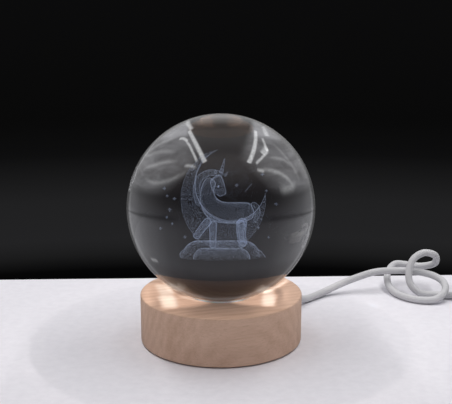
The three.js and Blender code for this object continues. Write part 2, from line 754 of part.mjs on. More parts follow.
// Two half shells held by two screws, and the rocker between the ears of the upper one.
function addSwitch() {
  const place = new THREE.Group();
  place.position.set(switchCentreX, switchCentreY, 0);
  lamp.add(place);
  const [wide, long, tall] = [switchWidth, switchLength, switchHeight + rockerReach];
  const split = switchSplit;
  const post = switchPostDiameter / 2;
  const postX = switchWidth / 2 - switchWall - post / 2;
  const postY = switchLength / 2 - switchTaperLength - post / 2;
  const posts = [[postX, postY], [-postX, -postY]];
  const whole = raised(switchOutline(0), 0, switchHeight, switchRound);
  const hollow = raised(switchOutline(switchWall), switchWall, switchHeight - switchWall);
  const inside = raised(switchOutline(switchWall / 2), switchWall / 2, switchHeight - switchWall / 2);
  const cordBore = rod(cordDiameter + 2 * fitGap, -long, long);
  const cordHole = cordBore.rotate([90, 0, 0]).translate([0, 0, split]);
  const above = block([-wide, -long, split + switchSeam / 2], [wide, long, tall]);
  const below = block([-wide, -long, -overrun], [wide, long, split - switchSeam / 2]);
  const headHole = switchScrewHeadDiameter / 2 + fitGap;
  const shankHole = switchScrewShankDiameter / 2 + fitGap;
  const shoulder = switchScrewHeadHeight + 2 * fitGap;

  let lower = whole.subtract(hollow);
  let upper = whole.subtract(hollow);
  for (const [x, y] of posts) {
    const column = rod(2 * post, 0, switchHeight, x, y).intersect(inside);
    lower = lower.add(column);
    upper = upper.add(column);
  }
  for (const [x, y] of posts) {
    lower = lower.subtract(rod(2 * shankHole, -overrun, tall, x, y));
    lower = lower.subtract(rod(2 * headHole, -overrun, shoulder, x, y));
    upper = upper.subtract(rod(2 * shankHole, 0, switchScrewLength + 2 * fitGap, x, y));
  }
  lower = lower.intersect(below).subtract(cordHole);
  const openHalfY = rockerReach + rockerClearance;
  const openHalfX = rockerWidth / 2 + rockerClearance;
  const opening = block([-openHalfX, -openHalfY, split], [openHalfX, openHalfY, tall]);
  const earLow = rockerPivotZ - trunnionDiameter;
  const earTop = switchHeight - switchWall / 2;
  const earOut = openHalfX + earThickness;
  const pivotHole = rodAlongX(trunnionDiameter + 2 * fitGap, -earOut - overrun, earOut + overrun,
    0, rockerPivotZ);
  upper = upper.intersect(above).subtract(opening);
  for (const side of [-1, 1]) {
    const [low, high] = [openHalfX, earOut].map((x) => x * side).sort((a, b) => a - b);
    upper = upper.add(block([low, -earLength / 2, earLow], [high, earLength / 2, earTop]));
  }
  upper = upper.subtract(pivotHole).subtract(cordHole);
  addPart('switch_lower_case', lower, 'whitePlastic', place);
  addPart('switch_upper_case', upper, 'whitePlastic', place);

  posts.forEach(([x, y], i) => {
    const fixing = screw(switchScrewHeadDiameter, switchScrewHeadHeight, switchScrewShankDiameter,
      switchScrewLength);
    addPart(`switch_screw_${i + 1}`, fixing.translate([x, y, fitGap]), 'steel', place);
  });

  const rocker = rockerBody().rotate([-rockerTilt / degrees, 0, 0]).translate([0, 0, rockerPivotZ]);
  addPart('switch_rocker', rocker, 'whitePlastic', place);
  addSwitchContacts(place);
}

// A bridge under the rocker's raised half closes two fixed contacts when that half is pressed.
function addSwitchContacts(place) {
  const skirt = -rockerSkirtDepth - bondGap;
  const bridgeY = -rockerReach / 2;
  const bridgeHalf = contactSpacing / 2 + contactWidth / 4;
  const bridge = block([-bridgeHalf, bridgeY - contactWidth / 2, skirt - contactThickness],
    [bridgeHalf, bridgeY + contactWidth / 2, skirt]);
  const atRest = bridge.rotate([-rockerTilt / degrees, 0, 0]).translate([0, 0, rockerPivotZ]);
  addPart('switch_bridge_contact', atRest, 'brass', place);
  const drop = Math.abs(bridgeY - contactWidth / 2) * Math.sin(rockerTilt);
  const reach = (contactThickness - skirt) * Math.cos(rockerTilt) + drop;
  const top = rockerPivotZ - reach - fitGap;
  const floor = switchWall + bondGap;
  for (const [name, side] of [['line', 1], ['load', -1]]) {
    const x = side * contactSpacing / 2;
    const half = contactWidth / 2;
    const foot = block([x - half, bridgeY - contactLength / 2, floor],
      [x + half, bridgeY + contactLength / 2, floor + contactThickness]);
    const riser = block([x - half, bridgeY - contactThickness, floor],
      [x + half, bridgeY + contactThickness, top]);
    addPart(`switch_${name}_contact`, foot.add(riser), 'brass', place);
  }
  const cordEnd = switchLength / 2 - cordDiameter - fitGap;
  const lowZ = floor + contactThickness + switchLeadDiameter / 2 + fitGap;
  const contactEnd = contactLength / 2 + fitGap;
  const spread = cordRadius / 2;
  const leads = {
    switch_lead_in: [
      [spread, cordEnd, switchSplit],
      [spread * 2, cordEnd - cordDiameter, switchSplit - switchLeadDiameter],
      [contactSpacing / 2, rockerReach, lowZ],
      [contactSpacing / 2, bridgeY + contactEnd + cordDiameter, lowZ],
      [contactSpacing / 2, bridgeY + contactEnd, lowZ],
    ],
    switch_lead_out: [
      [-contactSpacing / 2, bridgeY - contactEnd, lowZ],
      [-contactSpacing / 2, bridgeY - contactEnd - cordDiameter, lowZ],
      [-spread * 2, cordDiameter - cordEnd, switchSplit - switchLeadDiameter],
      [-spread, -cordEnd, switchSplit],
    ],
    switch_lead_through: [
      [-spread, cordEnd, switchSplit],
      [-spread, cordEnd - cordDiameter, switchSplit - switchLeadDiameter],
      [0, rockerReach, lowZ],
      [0, 0, lowZ],
      [0, -rockerReach, lowZ],
      [spread, cordDiameter - cordEnd, switchSplit - switchLeadDiameter],
      [spread, -cordEnd, switchSplit],
    ],
  };
  for (const [name, points] of Object.entries(leads)) {
    const finish = name === 'switch_lead_through' ? 'leadBlack' : 'leadRed';
    addPart(name, swept(through(points), switchLeadDiameter, leadSides, leadSteps), finish, place);
  }
}

// A rounded rectangle seen along the plug.
function plugSection(width, height, corner) {
  const [x, y] = [width / 2, height / 2];
  const section = new THREE.Shape();
  section.moveTo(-x + corner, -y);
  section.lineTo(x - corner, -y);
  section.absarc(x - corner, -y + corner, corner, -halfTurn / 2, 0, false);
  section.lineTo(x, y - corner);
  section.absarc(x - corner, y - corner, corner, 0, halfTurn / 2, false);
  section.lineTo(-x + corner, y);
  section.absarc(-x + corner, y - corner, corner, halfTurn / 2, halfTurn, false);
  section.lineTo(-x, -y + corner);
  section.absarc(-x + corner, -y + corner, corner, halfTurn, halfTurn * 1.5, false);
  return section;
}

// The plug points towards -Y. Along it, distances are measured from the end where the cord goes in.
function addPlug() {
  const place = new THREE.Group();
  place.position.set(plugCentreX, plugTailY, plugAxisZ);
  lamp.add(place);
  const along = (shape) => shape.rotate([90, 0, 0]);
  const [relief, tip] = [plugReliefLength, plugReliefLength + plugBodyLength];
  const [tipRadius, rootRadius] = [plugReliefTipDiameter / 2, plugReliefRootDiameter / 2];
  const boot = turned([
    [0, 0],
    ...ridged(tipRadius, rootRadius, 0, relief, plugReliefRidges, plugReliefRidgeDepth),
    [rootRadius, relief + plugBodyRound],
    [0, relief + plugBodyRound],
  ]);
  const bodySection = plugSection(plugBodyWidth, plugBodyHeight, plugCornerRadius);
  const body = raised(bodySection, relief, tip, plugBodyRound);
  const pocket = raised(plugSection(shellWidth + 2 * fitGap, shellHeight + 2 * fitGap, shellCorner),
    tip - shellEmbedded - fitGap, tip + overrun);
  addPart('plug_body', along(body.add(boot).subtract(pocket)), 'whitePlastic', place);

  const [from, to] = [tip - shellEmbedded, tip + shellExposed];
  const outer = raised(plugSection(shellWidth, shellHeight, shellCorner), from, to);
  const boreSection = plugSection(shellWidth - 2 * shellWall, shellHeight - 2 * shellWall,
    shellCorner - shellWall);
  const inner = raised(boreSection, from - overrun, to + overrun);
  let shell = outer.subtract(inner);
  for (const side of [-1, 1]) {
    const x = side * shellWindowSpacing / 2;
    const half = shellWindowSide / 2;
    const middle = to - shellWindowFromTip;
    const window = block([x - half, -shellHeight, middle - half], [x + half, shellHeight, middle + half]);
    shell = shell.subtract(window);
  }
  addPart('plug_shell', along(shell), 'steel', place);

  const tongueLow = -shellHeight / 2 + shellWall + bondGap;
  const tongueTop = tongueLow + tongueThickness;
  const tongue = block([-tongueWidth / 2, tongueLow, from + fitGap],
    [tongueWidth / 2, tongueTop, to - tongueSetback]);
  addPart('plug_tongue', along(tongue), 'whitePlastic', place);
  for (let i = 0; i < plugContactCount; i += 1) {
    const outerPair = i === 0 || i === plugContactCount - 1;
    const side = i < plugContactCount / 2 ? -1 : 1;
    const x = side * (outerPair ? plugContactPitchOuter : plugContactPitchInner) / 2;
    const end = to - tongueSetback - plugContactSetback * (outerPair ? 1 : 2);
    const contact = block([x - plugContactWidth / 2, tongueTop + bondGap, end - plugContactLength],
      [x + plugContactWidth / 2, tongueTop + bondGap + plugContactThickness, end]);
    addPart(`plug_contact_${i + 1}`, along(contact), 'brass', place);
  }
}

addBall();
addWoodBase();
addLens();
addLightBoard();
addGlandAndLeads();
addBottomPlate();
addFootPads();
addCord();
addCoilTie();
addSwitch();
addPlug();

export default lamp;
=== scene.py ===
# %% [markdown]
# # A light-up ball ornament
# A solid glass ball with a figure engraved inside it rests in the seat of a round wooden base. A white
# cord leaves the base at the back, lies in loose loops, goes through a small rocker switch, is wound into
# a coil and ends in a flat power plug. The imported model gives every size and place. This script gives the
# pieces their fine shapes and their finishes. Lengths are in metres, +Z is up and the viewer is at -Y.

import math

import bpy
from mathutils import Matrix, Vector


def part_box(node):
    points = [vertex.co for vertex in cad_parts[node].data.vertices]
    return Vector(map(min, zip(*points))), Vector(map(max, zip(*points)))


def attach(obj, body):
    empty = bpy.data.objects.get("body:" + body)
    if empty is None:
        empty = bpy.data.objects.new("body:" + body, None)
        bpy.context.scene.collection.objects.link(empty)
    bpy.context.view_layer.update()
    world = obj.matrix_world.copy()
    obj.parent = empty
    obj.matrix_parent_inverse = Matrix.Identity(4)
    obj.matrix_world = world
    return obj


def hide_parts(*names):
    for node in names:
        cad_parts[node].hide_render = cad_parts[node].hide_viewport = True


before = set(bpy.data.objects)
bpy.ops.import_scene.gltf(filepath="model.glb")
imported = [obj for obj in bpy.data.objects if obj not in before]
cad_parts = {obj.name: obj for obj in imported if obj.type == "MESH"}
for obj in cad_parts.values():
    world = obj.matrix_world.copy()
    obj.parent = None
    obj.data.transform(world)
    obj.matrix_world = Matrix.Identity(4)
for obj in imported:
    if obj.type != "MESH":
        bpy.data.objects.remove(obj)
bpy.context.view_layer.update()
mm = 0.001


def in_scene(name, data):
    """A new object in the scene."""
    piece = bpy.data.objects.new(name, data)
    bpy.context.scene.collection.objects.link(piece)
    return piece


# %% [markdown]
# ## Camera
# The picture was taken from a little above the ball. The lens and the distance are chosen so that the
# outlines of the ball and of the base fall where they do in the picture: the focal length is given in
# pixels of a picture 452 pixels wide, and turned into millimetres on a sensor of the usual width.

# %% Place the camera
picture_width = 452
focal_pixels = 940
camera_distance = 400 * mm
camera_elevation = math.radians(13.32)
camera_target = Vector((2.14, 0, 61.1)) * mm

camera_data = bpy.data.cameras.new("camera")
camera_data.sensor_width = 36
camera_data.lens = focal_pixels / picture_width * camera_data.sensor_width
camera_data.clip_start = 10 * mm
camera = in_scene("camera", camera_data)
back = Vector((0, -math.cos(camera_elevation), math.sin(camera_elevation)))
camera.location = camera_target + camera_distance * back
camera.rotation_euler = (math.pi / 2 - camera_elevation, 0, 0)
bpy.context.scene.camera = camera
bpy.context.scene.view_settings.view_transform = "Standard"
print("lens", round(camera_data.lens, 1), "mm at", [round(x, 3) for x in camera.location])

# %% [markdown]
# ## Cord
# A soft white cord of 3.5 mm. It is cut at the switch, where its jacket ends inside the case, so it is
# two cords: one from the base to the switch, and one from the switch through the coil to the plug. Each
# is a Bezier curve through given points. The handles follow the rule of a centripetal
# Catmull-Rom curve, which passes through its points without overshooting where they lie unevenly.

# %% The two routes
cord_diameter = 3.5 * mm
gland_azimuth = math.radians(48)
gland_height = 7 * mm
cord_start = 44.3 * mm
switch_x, switch_height = 121, 6.5
plug_x, plug_height = 139, 4

gland_out = Vector((math.cos(gland_azimuth), math.sin(gland_azimuth), 0))
mouth = cord_start * gland_out + Vector((0, 0, gland_height))
run_points = [
    (35.9, 39.6, 4.4), (40.6, 44.6, 2.2), (45.4, 49.8, 1.8), (51.9, 55.5, 2.6), (60.2, 59.6, 5.1),
    (69, 62, 7.8), (77.2, 63.6, 9.8), (86.5, 64.3, 10.3), (96, 63.6, 10.2), (104.6, 60.6, 9.4),
    (109.6, 55.2, 7.6), (109.4, 48.6, 5), (104, 43.6, 2.4), (96.4, 44, 1.8), (90, 48.6, 1.75),
    (85.9, 55.6, 1.9), (84.1, 64.4, 3.6), (85.1, 71.4, 6.9), (89.4, 76.2, 10.1), (95.5, 75.6, 10),
    (102.6, 72.4, 10.2), (108.4, 68.8, 13), (107.4, 65.2, 18), (101.4, 63.2, 20), (96, 61.4, 17.4),
    (93.3, 58.8, 12), (93.8, 55.9, 6), (98, 53.6, 2.2), (105, 52, 1.75), (113, 50.2, 2.1),
    (119.4, 46, 4.6), (switch_x, 41, switch_height), (switch_x, 34, switch_height),
]
return_points = [
    (switch_x, -13, switch_height), (switch_x, -20, switch_height), (123.4, -26.8, 3.4), (130.6, -35, 1.8),
    (141.6, -36.6, 1.8), (150.6, -29.6, 1.8), (153.6, -16, 1.8), (156, 4, 1.9), (162, 26, 2.4),
]
tail_points = [(127.2, 38.6, 6.2), (134, 31.4, 4.4), (plug_x, 25.5, plug_height), (plug_x, 22.3, plug_height)]

# %% The coil's turns
coil_centre = Vector((151, 60, 0))
coil_radius = 26.5
coil_pitch = 4.1
coil_layers = 2
coil_turns = 7
coil_start, coil_end = -20, 180
coil_floor = 2.95
steps_per_turn = 24
straight_far, straight_near = 10.5, 3.65


def coil_points():
    """The coil's centreline in millimetres: inwards, up one layer over half a turn, and out again."""
    sweep = 360 * coil_turns + coil_end - coil_start
    layer_sweep = sweep / coil_layers
    steps = round(sweep / 360 * steps_per_turn)
    points = []
    for i in range(steps + 1):
        turn = sweep * i / steps
        layer = min(int(turn // layer_sweep), coil_layers - 1)
        within = (turn - layer * layer_sweep) / 360
        inward = within if layer % 2 == 0 else layer_sweep / 360 - within
        radius = coil_radius - coil_pitch * inward
        climb = min(max((turn - layer_sweep + 90) / 180, 0), 1)
        height = coil_floor + coil_pitch * climb * climb * (3 - 2 * climb)
        angle = math.radians(coil_start + turn)
        points.append(coil_centre + Vector((radius * math.cos(angle), radius * math.sin(angle), height)))
    return points


def straight_from(point, angle, reach):
    """A point on the coil's tangent, so that the cord meets its turns straight on."""
    turn = math.radians(angle)
    return point + reach * Vector((-math.sin(turn), math.cos(turn), 0))


winding = coil_points()
lead_in = [straight_from(winding[0], coil_start, -reach) for reach in (straight_far, straight_near)]
lead_out = [straight_from(winding[-1], coil_end, reach) for reach in (straight_near, straight_far)]
first_route = [mouth / mm, (mouth + cord_diameter * gland_out) / mm, *map(Vector, run_points)]
second_route = [*map(Vector, return_points), *lead_in, *winding, *lead_out, *map(Vector, tail_points)]
print("points: first cord", len(first_route), "second cord", len(second_route), "of which coil", len(winding))


# %% Curves of the cord's thickness
def slopes(p0, p1, p2, p3):
    """The slopes at p1 and p2 of a centripetal Catmull-Rom curve, over the stretch between them."""
    a, b, c = ((q - p).length ** 0.5 for p, q in ((p0, p1), (p1, p2), (p2, p3)))
    start = (p1 - p0) / a - (p2 - p0) / (a + b) + (p2 - p1) / b
    end = (p2 - p1) / b - (p3 - p1) / (b + c) + (p3 - p2) / c
    return start * b, end * b


def cord_curve(name, route):
    """One open Bezier spline through the route's points. Each point carries the cord's radius."""
    points = [p * mm for p in route]
    padded = [2 * points[0] - points[1], *points, 2 * points[-1] - points[-2]]
    data = bpy.data.curves.new(name, "CURVE")
    data.dimensions = "3D"
    data.bevel_depth = 1
    data.bevel_resolution = 5
    data.resolution_u = 6
    data.use_fill_caps = True
    spline = data.splines.new("BEZIER")
    spline.bezier_points.add(len(points) - 1)
    for bezier, point in zip(spline.bezier_points, points):
        bezier.co = bezier.handle_left = bezier.handle_right = point
        bezier.radius = cord_diameter / 2
    for i in range(len(points) - 1):
        start, end = slopes(*padded[i:i + 4])
        spline.bezier_points[i].handle_right = points[i] + start / 3
        spline.bezier_points[i + 1].handle_left = points[i + 1] - end / 3
    print(name, "chords", round(sum((q - p).length for p, q in zip(points, points[1:])), 3), "m")
    return in_scene(name, data)


cord_to_switch = cord_curve("cord_to_switch", first_route)
cord_to_plug = cord_curve("cord_to_plug", second_route)

cord_nodes = ((cord_to_switch, ["cord_run"]), (cord_to_plug, ["cord_return", "cord_coil", "cord_tail"]))
for cord, nodes in cord_nodes:
    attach(cord, "base")
    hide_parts(*nodes)


# %% [markdown]
# ## Working by hand, in code
# An operator acts on what is selected, so each step first deselects everything. Round pieces are spun
# from an outline, as on a lathe. A finished piece keeps its place in its mesh, and its object sits at
# the origin.

# %% Small helpers for modelling
same_place = 1e-6


def only(piece):
    """Deselects everything, then selects one piece and makes it the active one."""
    bpy.ops.object.select_all(action="DESELECT")
    piece.select_set(True)
    bpy.context.view_layer.objects.active = piece


def basic(operator, **settings):
    """One of Blender's basic forms."""
    bpy.ops.object.select_all(action="DESELECT")
    operator(**settings)
    return bpy.context.object


def settled(piece, place=(0, 0, 0), turn=(0, 0, 0), scale=(1, 1, 1)):
    """Scales, turns and moves a piece, and writes that into its mesh."""
    only(piece)
    piece.location, piece.rotation_euler, piece.scale = place, turn, scale
    bpy.ops.object.transform_apply(location=True, rotation=True, scale=True)
    return piece


def modified(piece, kind, **settings):
    """Adds a modifier with these settings and applies it."""
    only(piece)
    modifier = piece.modifiers.new(kind, kind)
    for key, value in settings.items():
        setattr(modifier, key, value)
    bpy.ops.object.modifier_apply(modifier=modifier.name)
    return piece


def edited(piece, *steps):
    """Runs mesh operators, given as (operator, settings), on the whole of a piece."""
    only(piece)
    bpy.ops.object.mode_set(mode="EDIT")
    for operator, settings in steps:
        bpy.ops.mesh.select_all(action="SELECT")
        operator(**settings)
    bpy.ops.object.mode_set(mode="OBJECT")
    return piece


weld = (bpy.ops.mesh.remove_doubles, {"threshold": same_place})
face_outwards = (bpy.ops.mesh.normals_make_consistent, {"inside": False})


def lathe(name, outline, sides=96):
    """Spins an outline of (radius, height) points once about the Z axis, and merges where it closes."""
    mesh = bpy.data.meshes.new(name)
    edges = [(i, i + 1) for i in range(len(outline) - 1)]
    if outline[0][0] > 0:
        edges.append((len(outline) - 1, 0))
    mesh.from_pydata([(r, 0, z) for r, z in outline], edges, [])
    spin = {"steps": sides, "angle": 2 * math.pi, "center": (0, 0, 0), "axis": (0, 0, 1)}
    return edited(in_scene(name, mesh), (bpy.ops.mesh.spin, spin), weld, face_outwards)


def rounded(piece, width, segments=3, angle=30):
    """Rounds the sharp edges of a piece and shades it smooth between them."""
    modified(piece, "BEVEL", width=width, segments=segments, limit_method="ANGLE",
             angle_limit=math.radians(angle), use_clamp_overlap=True)
    only(piece)
    bpy.ops.object.shade_smooth_by_angle(angle=math.radians(angle))
    return piece


def stands_for(piece, node, finish, body="base"):
    """A finished piece takes a CAD node's place and body, and gets its material."""
    piece.data.materials.clear()
    piece.data.materials.append(finish)
    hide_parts(node)
    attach(piece, body)
    print(piece.name, len(piece.data.vertices), "corners")
    return piece


# %% [markdown]
# ## Shader helpers
# A material is a small tree of nodes. What a node puts out is held as a wire here. Sums and products of
# wires are math nodes, so each finish below reads as a list of what it is made of.

# %% Wires
class Wire:
    """A node's output. Another output of its node is had by its name, as in wire["Color"]."""

    def __init__(self, socket, vector=None):
        self.socket, self.tree = socket, socket.id_data
        self.vector = socket.type in ("VECTOR", "RGBA") if vector is None else vector

    def __getitem__(self, name):
        return Wire(self.socket.node.outputs[name])

    def __add__(self, other):
        return calc("ADD", self, other)

    def __sub__(self, other):
        return calc("SUBTRACT", self, other)

    def __rsub__(self, other):
        return calc("SUBTRACT", other, self)

    def __mul__(self, other):
        if not self.vector and not isinstance(other, tuple):
            return calc("MULTIPLY", self, other)
        if isinstance(other, tuple) and self.vector:
            return calc("MULTIPLY", self, other)
        vector, number = (self, other) if self.vector else (other, self)
        return add(self.tree, "VectorMath", {0: vector, "Scale": number}, operation="SCALE")

    def __truediv__(self, other):
        return calc("DIVIDE", self, other)

    def __rtruediv__(self, other):
        return calc("DIVIDE", other, self)

    __radd__, __rmul__ = __add__, __mul__


def add(tree, kind, inputs=None, **settings):
    """Adds a node and gives its first output. An input is a value, or a wire, which is then linked."""
    made = tree.nodes.new(kind if "Node" in kind else "ShaderNode" + kind)
    for key, value in settings.items():
        setattr(made, key, value)
    for key, value in (inputs or {}).items():
        if isinstance(value, Wire):
            tree.links.new(value.socket, made.inputs[key])
        else:
            made.inputs[key].default_value = value
    return Wire(made.outputs[0])


def calc(operation, *inputs):
    """The result of one operation on numbers, or on vectors if one of the inputs is a vector."""
    wires = [value for value in inputs if isinstance(value, Wire)]
    kind = "VectorMath" if any(wire.vector for wire in wires) else "Math"
    return add(wires[0].tree, kind, dict(enumerate(inputs)), operation=operation)


# %% Small helpers for materials
def noise(place, scale, detail, roughness=0.5, distortion=0.0):
    """Soft noise between 0 and 1."""
    return add(place.tree, "TexNoise", {
        "Vector": place, "Scale": scale, "Detail": detail, "Roughness": roughness, "Distortion": distortion})


def ramp(wire, stops):
    """A colour ramp from a list of (place, colour), or a ramp of numbers from a list of (place, number)."""
    made = add(wire.tree, "ValToRGB", {"Fac": wire}).socket
    elements = made.node.color_ramp.elements
    while len(elements) < len(stops):
        elements.new(0.5)
    coloured = isinstance(stops[0][1], tuple)
    for element, (place, tone) in zip(elements, stops):
        element.position = place
        element.color = (*tone, 1) if coloured else (tone, tone, tone, 1)
    return Wire(made, vector=coloured)


def mapped(wire, start, end, low=0.0, high=1.0, kind="LINEAR"):
    """Goes from low to high while the wire goes from start to end."""
    return add(wire.tree, "MapRange", {"Value": wire, "From Min": start, "From Max": end, "To Min": low,
                                       "To Max": high}, interpolation_type=kind)


def blend_in(wire, start, end, low=0.0, high=1.0):
    """The same, with a soft start and end."""
    return mapped(wire, start, end, low, high, "SMOOTHSTEP")


def bell(wire):
    """One where the wire is zero, and less on both sides."""
    return calc("EXPONENT", wire * wire * -1.0)


def mixed(factor, first, second):
    """A colour between two others."""
    return add(factor.tree, "Mix", {"Factor": factor, 6: first, 7: second}, data_type="RGBA")[2]


def jittered(place, scale, detail, reach):
    """A place moved a little, by noise."""
    return place + (noise(place, scale, detail)["Color"] - (0.5, 0.5, 0.5)) * reach


def material(name):
    """A new material: itself, its tree, and the object's own coordinates."""
    made = bpy.data.materials.new(name)
    made.use_nodes = True
    made.node_tree.nodes.clear()
    return made, made.node_tree, add(made.node_tree, "TexCoord")["Object"]


def surface(made, shader):
    """Ends a material with its shader."""
    tree = made.node_tree
    tree.links.new(shader.socket, tree.nodes.new("ShaderNodeOutputMaterial").inputs["Surface"])
    return made


def new_group(name, outputs, **inputs):
    """A shader group. An input's default is a number, a colour, or None for a vector."""
    group = bpy.data.node_groups.new(name, "ShaderNodeTree")
    for label, value in inputs.items():
        kind = {float: "Float", tuple: "Color"}.get(type(value), "Vector")
        socket = group.interface.new_socket(label, in_out="INPUT", socket_type="NodeSocket" + kind)
        if value is not None:
            socket.default_value = value
    for label in outputs:
        kind = "Color" if label == "Color" else "Float"
        group.interface.new_socket(label, in_out="OUTPUT", socket_type="NodeSocket" + kind)
    return group, Wire(group.nodes.new("NodeGroupInput").outputs[0])


def gives(group, **wires):
    """Ends a group with what it puts out."""
    made = group.nodes.new("NodeGroupOutput")
    for name, wire in wires.items():
        group.links.new(wire.socket, made.inputs[name])
    return group


looks = ("Color", "Roughness", "Height")


def from_group(name, group, inputs, strength, distance, mapping=None, **sockets):
    """A material whose tone, roughness and height come from a group."""
    made, tree, place = material(name)
    if mapping:
        place = add(tree, "Mapping", {"Vector": place, **mapping})
    look = add(tree, "Group", {"Vector": place, **inputs}, node_tree=group)
    bump = add(tree, "Bump", {"Height": look["Height"], "Strength": strength, "Distance": distance})
    return surface(made, add(tree, "BsdfPrincipled", {
        "Base Color": look["Color"], "Roughness": look["Roughness"], "Normal": bump, **sockets}))


# %% [markdown]
# ## Wood
# The base is turned from one piece of pale hardwood. Growth rings are surfaces round the tree's heart,
# so one solid pattern of rings, cut by the top and by the side, gives long lines on top and sloping
# streaks where the side turns into end grain. Fine fibres and short dark pores run along the tree.

# %% The wood's grain
def wood_grain():
    """Rings about a leaning axis, bands and fibres along it, and pores."""
    group, given = new_group("wood grain", looks, Vector=None, Ring=85.0,
                             Light=(0.735, 0.50, 0.375, 1), Dark=(0.575, 0.365, 0.255, 1))
    place = given["Vector"]
    bent = jittered(place, 22.0, 2.0, 0.011)
    rings = add(group, "TexWave", {
        "Vector": bent, "Scale": given["Ring"], "Distortion": 2.0, "Detail": 3.0, "Detail Scale": 2.2,
        "Detail Roughness": 0.6}, wave_type="RINGS", rings_direction="X", wave_profile="SIN")["Fac"]
    fibres = noise(place * (60.0, 1500.0, 1500.0), 1.0, 4.0, 0.6)
    pores = ramp(noise(place * (240.0, 2600.0, 2600.0), 1.0, 2.0), [(0.34, 1), (0.40, 0)])
    slanting = add(group, "Mapping", {
        "Vector": place, "Rotation": (0, math.radians(-62), 0), "Scale": (22.0, 60.0, 190.0)})
    patches = noise(slanting, 1.0, 2.0)
    bands = noise(bent * (11.0, 250.0, 38.0), 1.0, 3.0, 0.55)
    dark = mapped(rings * 0.13 + bands * 0.80 + fibres * 0.56 + patches * 0.34, 0.73, 1.21)
    tone = mixed(pores * 0.16, mixed(dark, given["Light"], given["Dark"]), (0.24, 0.13, 0.08, 1))
    return gives(group, Color=tone, Roughness=mapped(dark, 0, 1, 0.42, 0.62), Height=fibres - pores * 0.7)


# The tree's heart lies behind and below the base.
heart = {"Location": (0, -0.070, -0.045), "Rotation": (0, math.radians(2), math.radians(-17))}
wood = from_group("wood", wood_grain(), {}, 0.12, 0.0002, heart,
                  **{"Coat Weight": 0.12, "Coat Roughness": 0.35})
print("wood", len(wood.node_tree.nodes), "nodes")

# %% [markdown]
# ## Wooden base
# A disc of wood with crisp but slightly broken edges. Above, a shallow seat holds the ball, and a ledge
# in it holds the lens. Below, a cavity holds the light and a recess takes the bottom plate.

# %% Turn the base
base_low, base_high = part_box("wood_base")
base_radius = base_high.x
base_under, base_top = base_low.z, base_high.z
lens_low, lens_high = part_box("light_lens")
_, board_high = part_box("led_board")
plate_low, plate_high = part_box("bottom_plate")
ball_low, ball_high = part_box("glass_ball")
ball_radius = (ball_high.z - ball_low.z) / 2
ball_centre = Vector((0, 0, (ball_high.z + ball_low.z) / 2))
gap = 0.3 * mm
base_edge = 0.5 * mm
seat_radius = lens_high.x + gap
ledge = lens_low.z - gap
cavity_radius = board_high.x + gap
cavity_top = board_high.z + gap
well_radius = 11 * mm
recess_radius = plate_high.x + gap
recess_top = plate_high.z + gap

base = lathe("base_wood", [
    (seat_radius, base_top), (base_radius, base_top), (base_radius, base_under),
    (recess_radius, base_under), (recess_radius, recess_top), (cavity_radius, recess_top),
    (cavity_radius, cavity_top), (well_radius, cavity_top), (well_radius, ledge), (seat_radius, ledge),
], sides=160)
stands_for(rounded(base, base_edge), "wood_base", wood)

# %% [markdown]
# ## Glass
# Clear glass bends what is behind it, which turns the scene upside down in the ball. A lamp's shadow ray
# doesn't bend, so for those rays the glass is a clear film that lets a part of the light straight
# through. The engraving inside is then lit, and the ball still casts a soft shadow.

# %% The glass
def glass_material():
    """Clear glass for the eye, and a dim film for shadow and diffuse rays."""
    made, tree, place = material("glass")
    haze = mapped(noise(place, 60.0, 3.0), 0.55, 0.8, high=0.02)
    clear = add(tree, "BsdfPrincipled", {
        "Base Color": (0.97, 0.985, 1, 1), "Roughness": haze, "IOR": 1.517, "Transmission Weight": 1.0})
    film = add(tree, "BsdfTransparent", {"Color": (0.42, 0.42, 0.43, 1)})
    path = add(tree, "LightPath")
    light = calc("MAXIMUM", path["Is Shadow Ray"], path["Is Diffuse Ray"])
    return surface(made, add(tree, "MixShader", {0: light, 1: clear, 2: film}))


# %% The ball
ball_steps = 128
ball_turns = [math.pi * i / ball_steps for i in range(1, ball_steps)]
ball_outline = [(ball_radius * math.sin(t), ball_centre.z - ball_radius * math.cos(t)) for t in ball_turns]
ball = lathe("ball_glass", [(0, ball_low.z), *ball_outline, (0, ball_high.z)], sides=2 * ball_steps)
only(ball)
bpy.ops.object.shade_smooth()
stands_for(ball, "glass_ball", glass_material(), "ball")


# %% [markdown]
# ## The figure in the glass
# A laser has made thousands of tiny cracks inside the ball, each about a tenth of a millimetre across.
# They lie on the surfaces of a figure: a unicorn that walks on a cloud in front of a crescent moon, with
# stars. Where such a surface turns edge on, more cracks lie behind each other and the outline is
# brighter. So the forms are modelled first, and then specks are strewn over their surfaces.

# %% Specks
speck_radius = 0.05 * mm
full_turn = 6.28


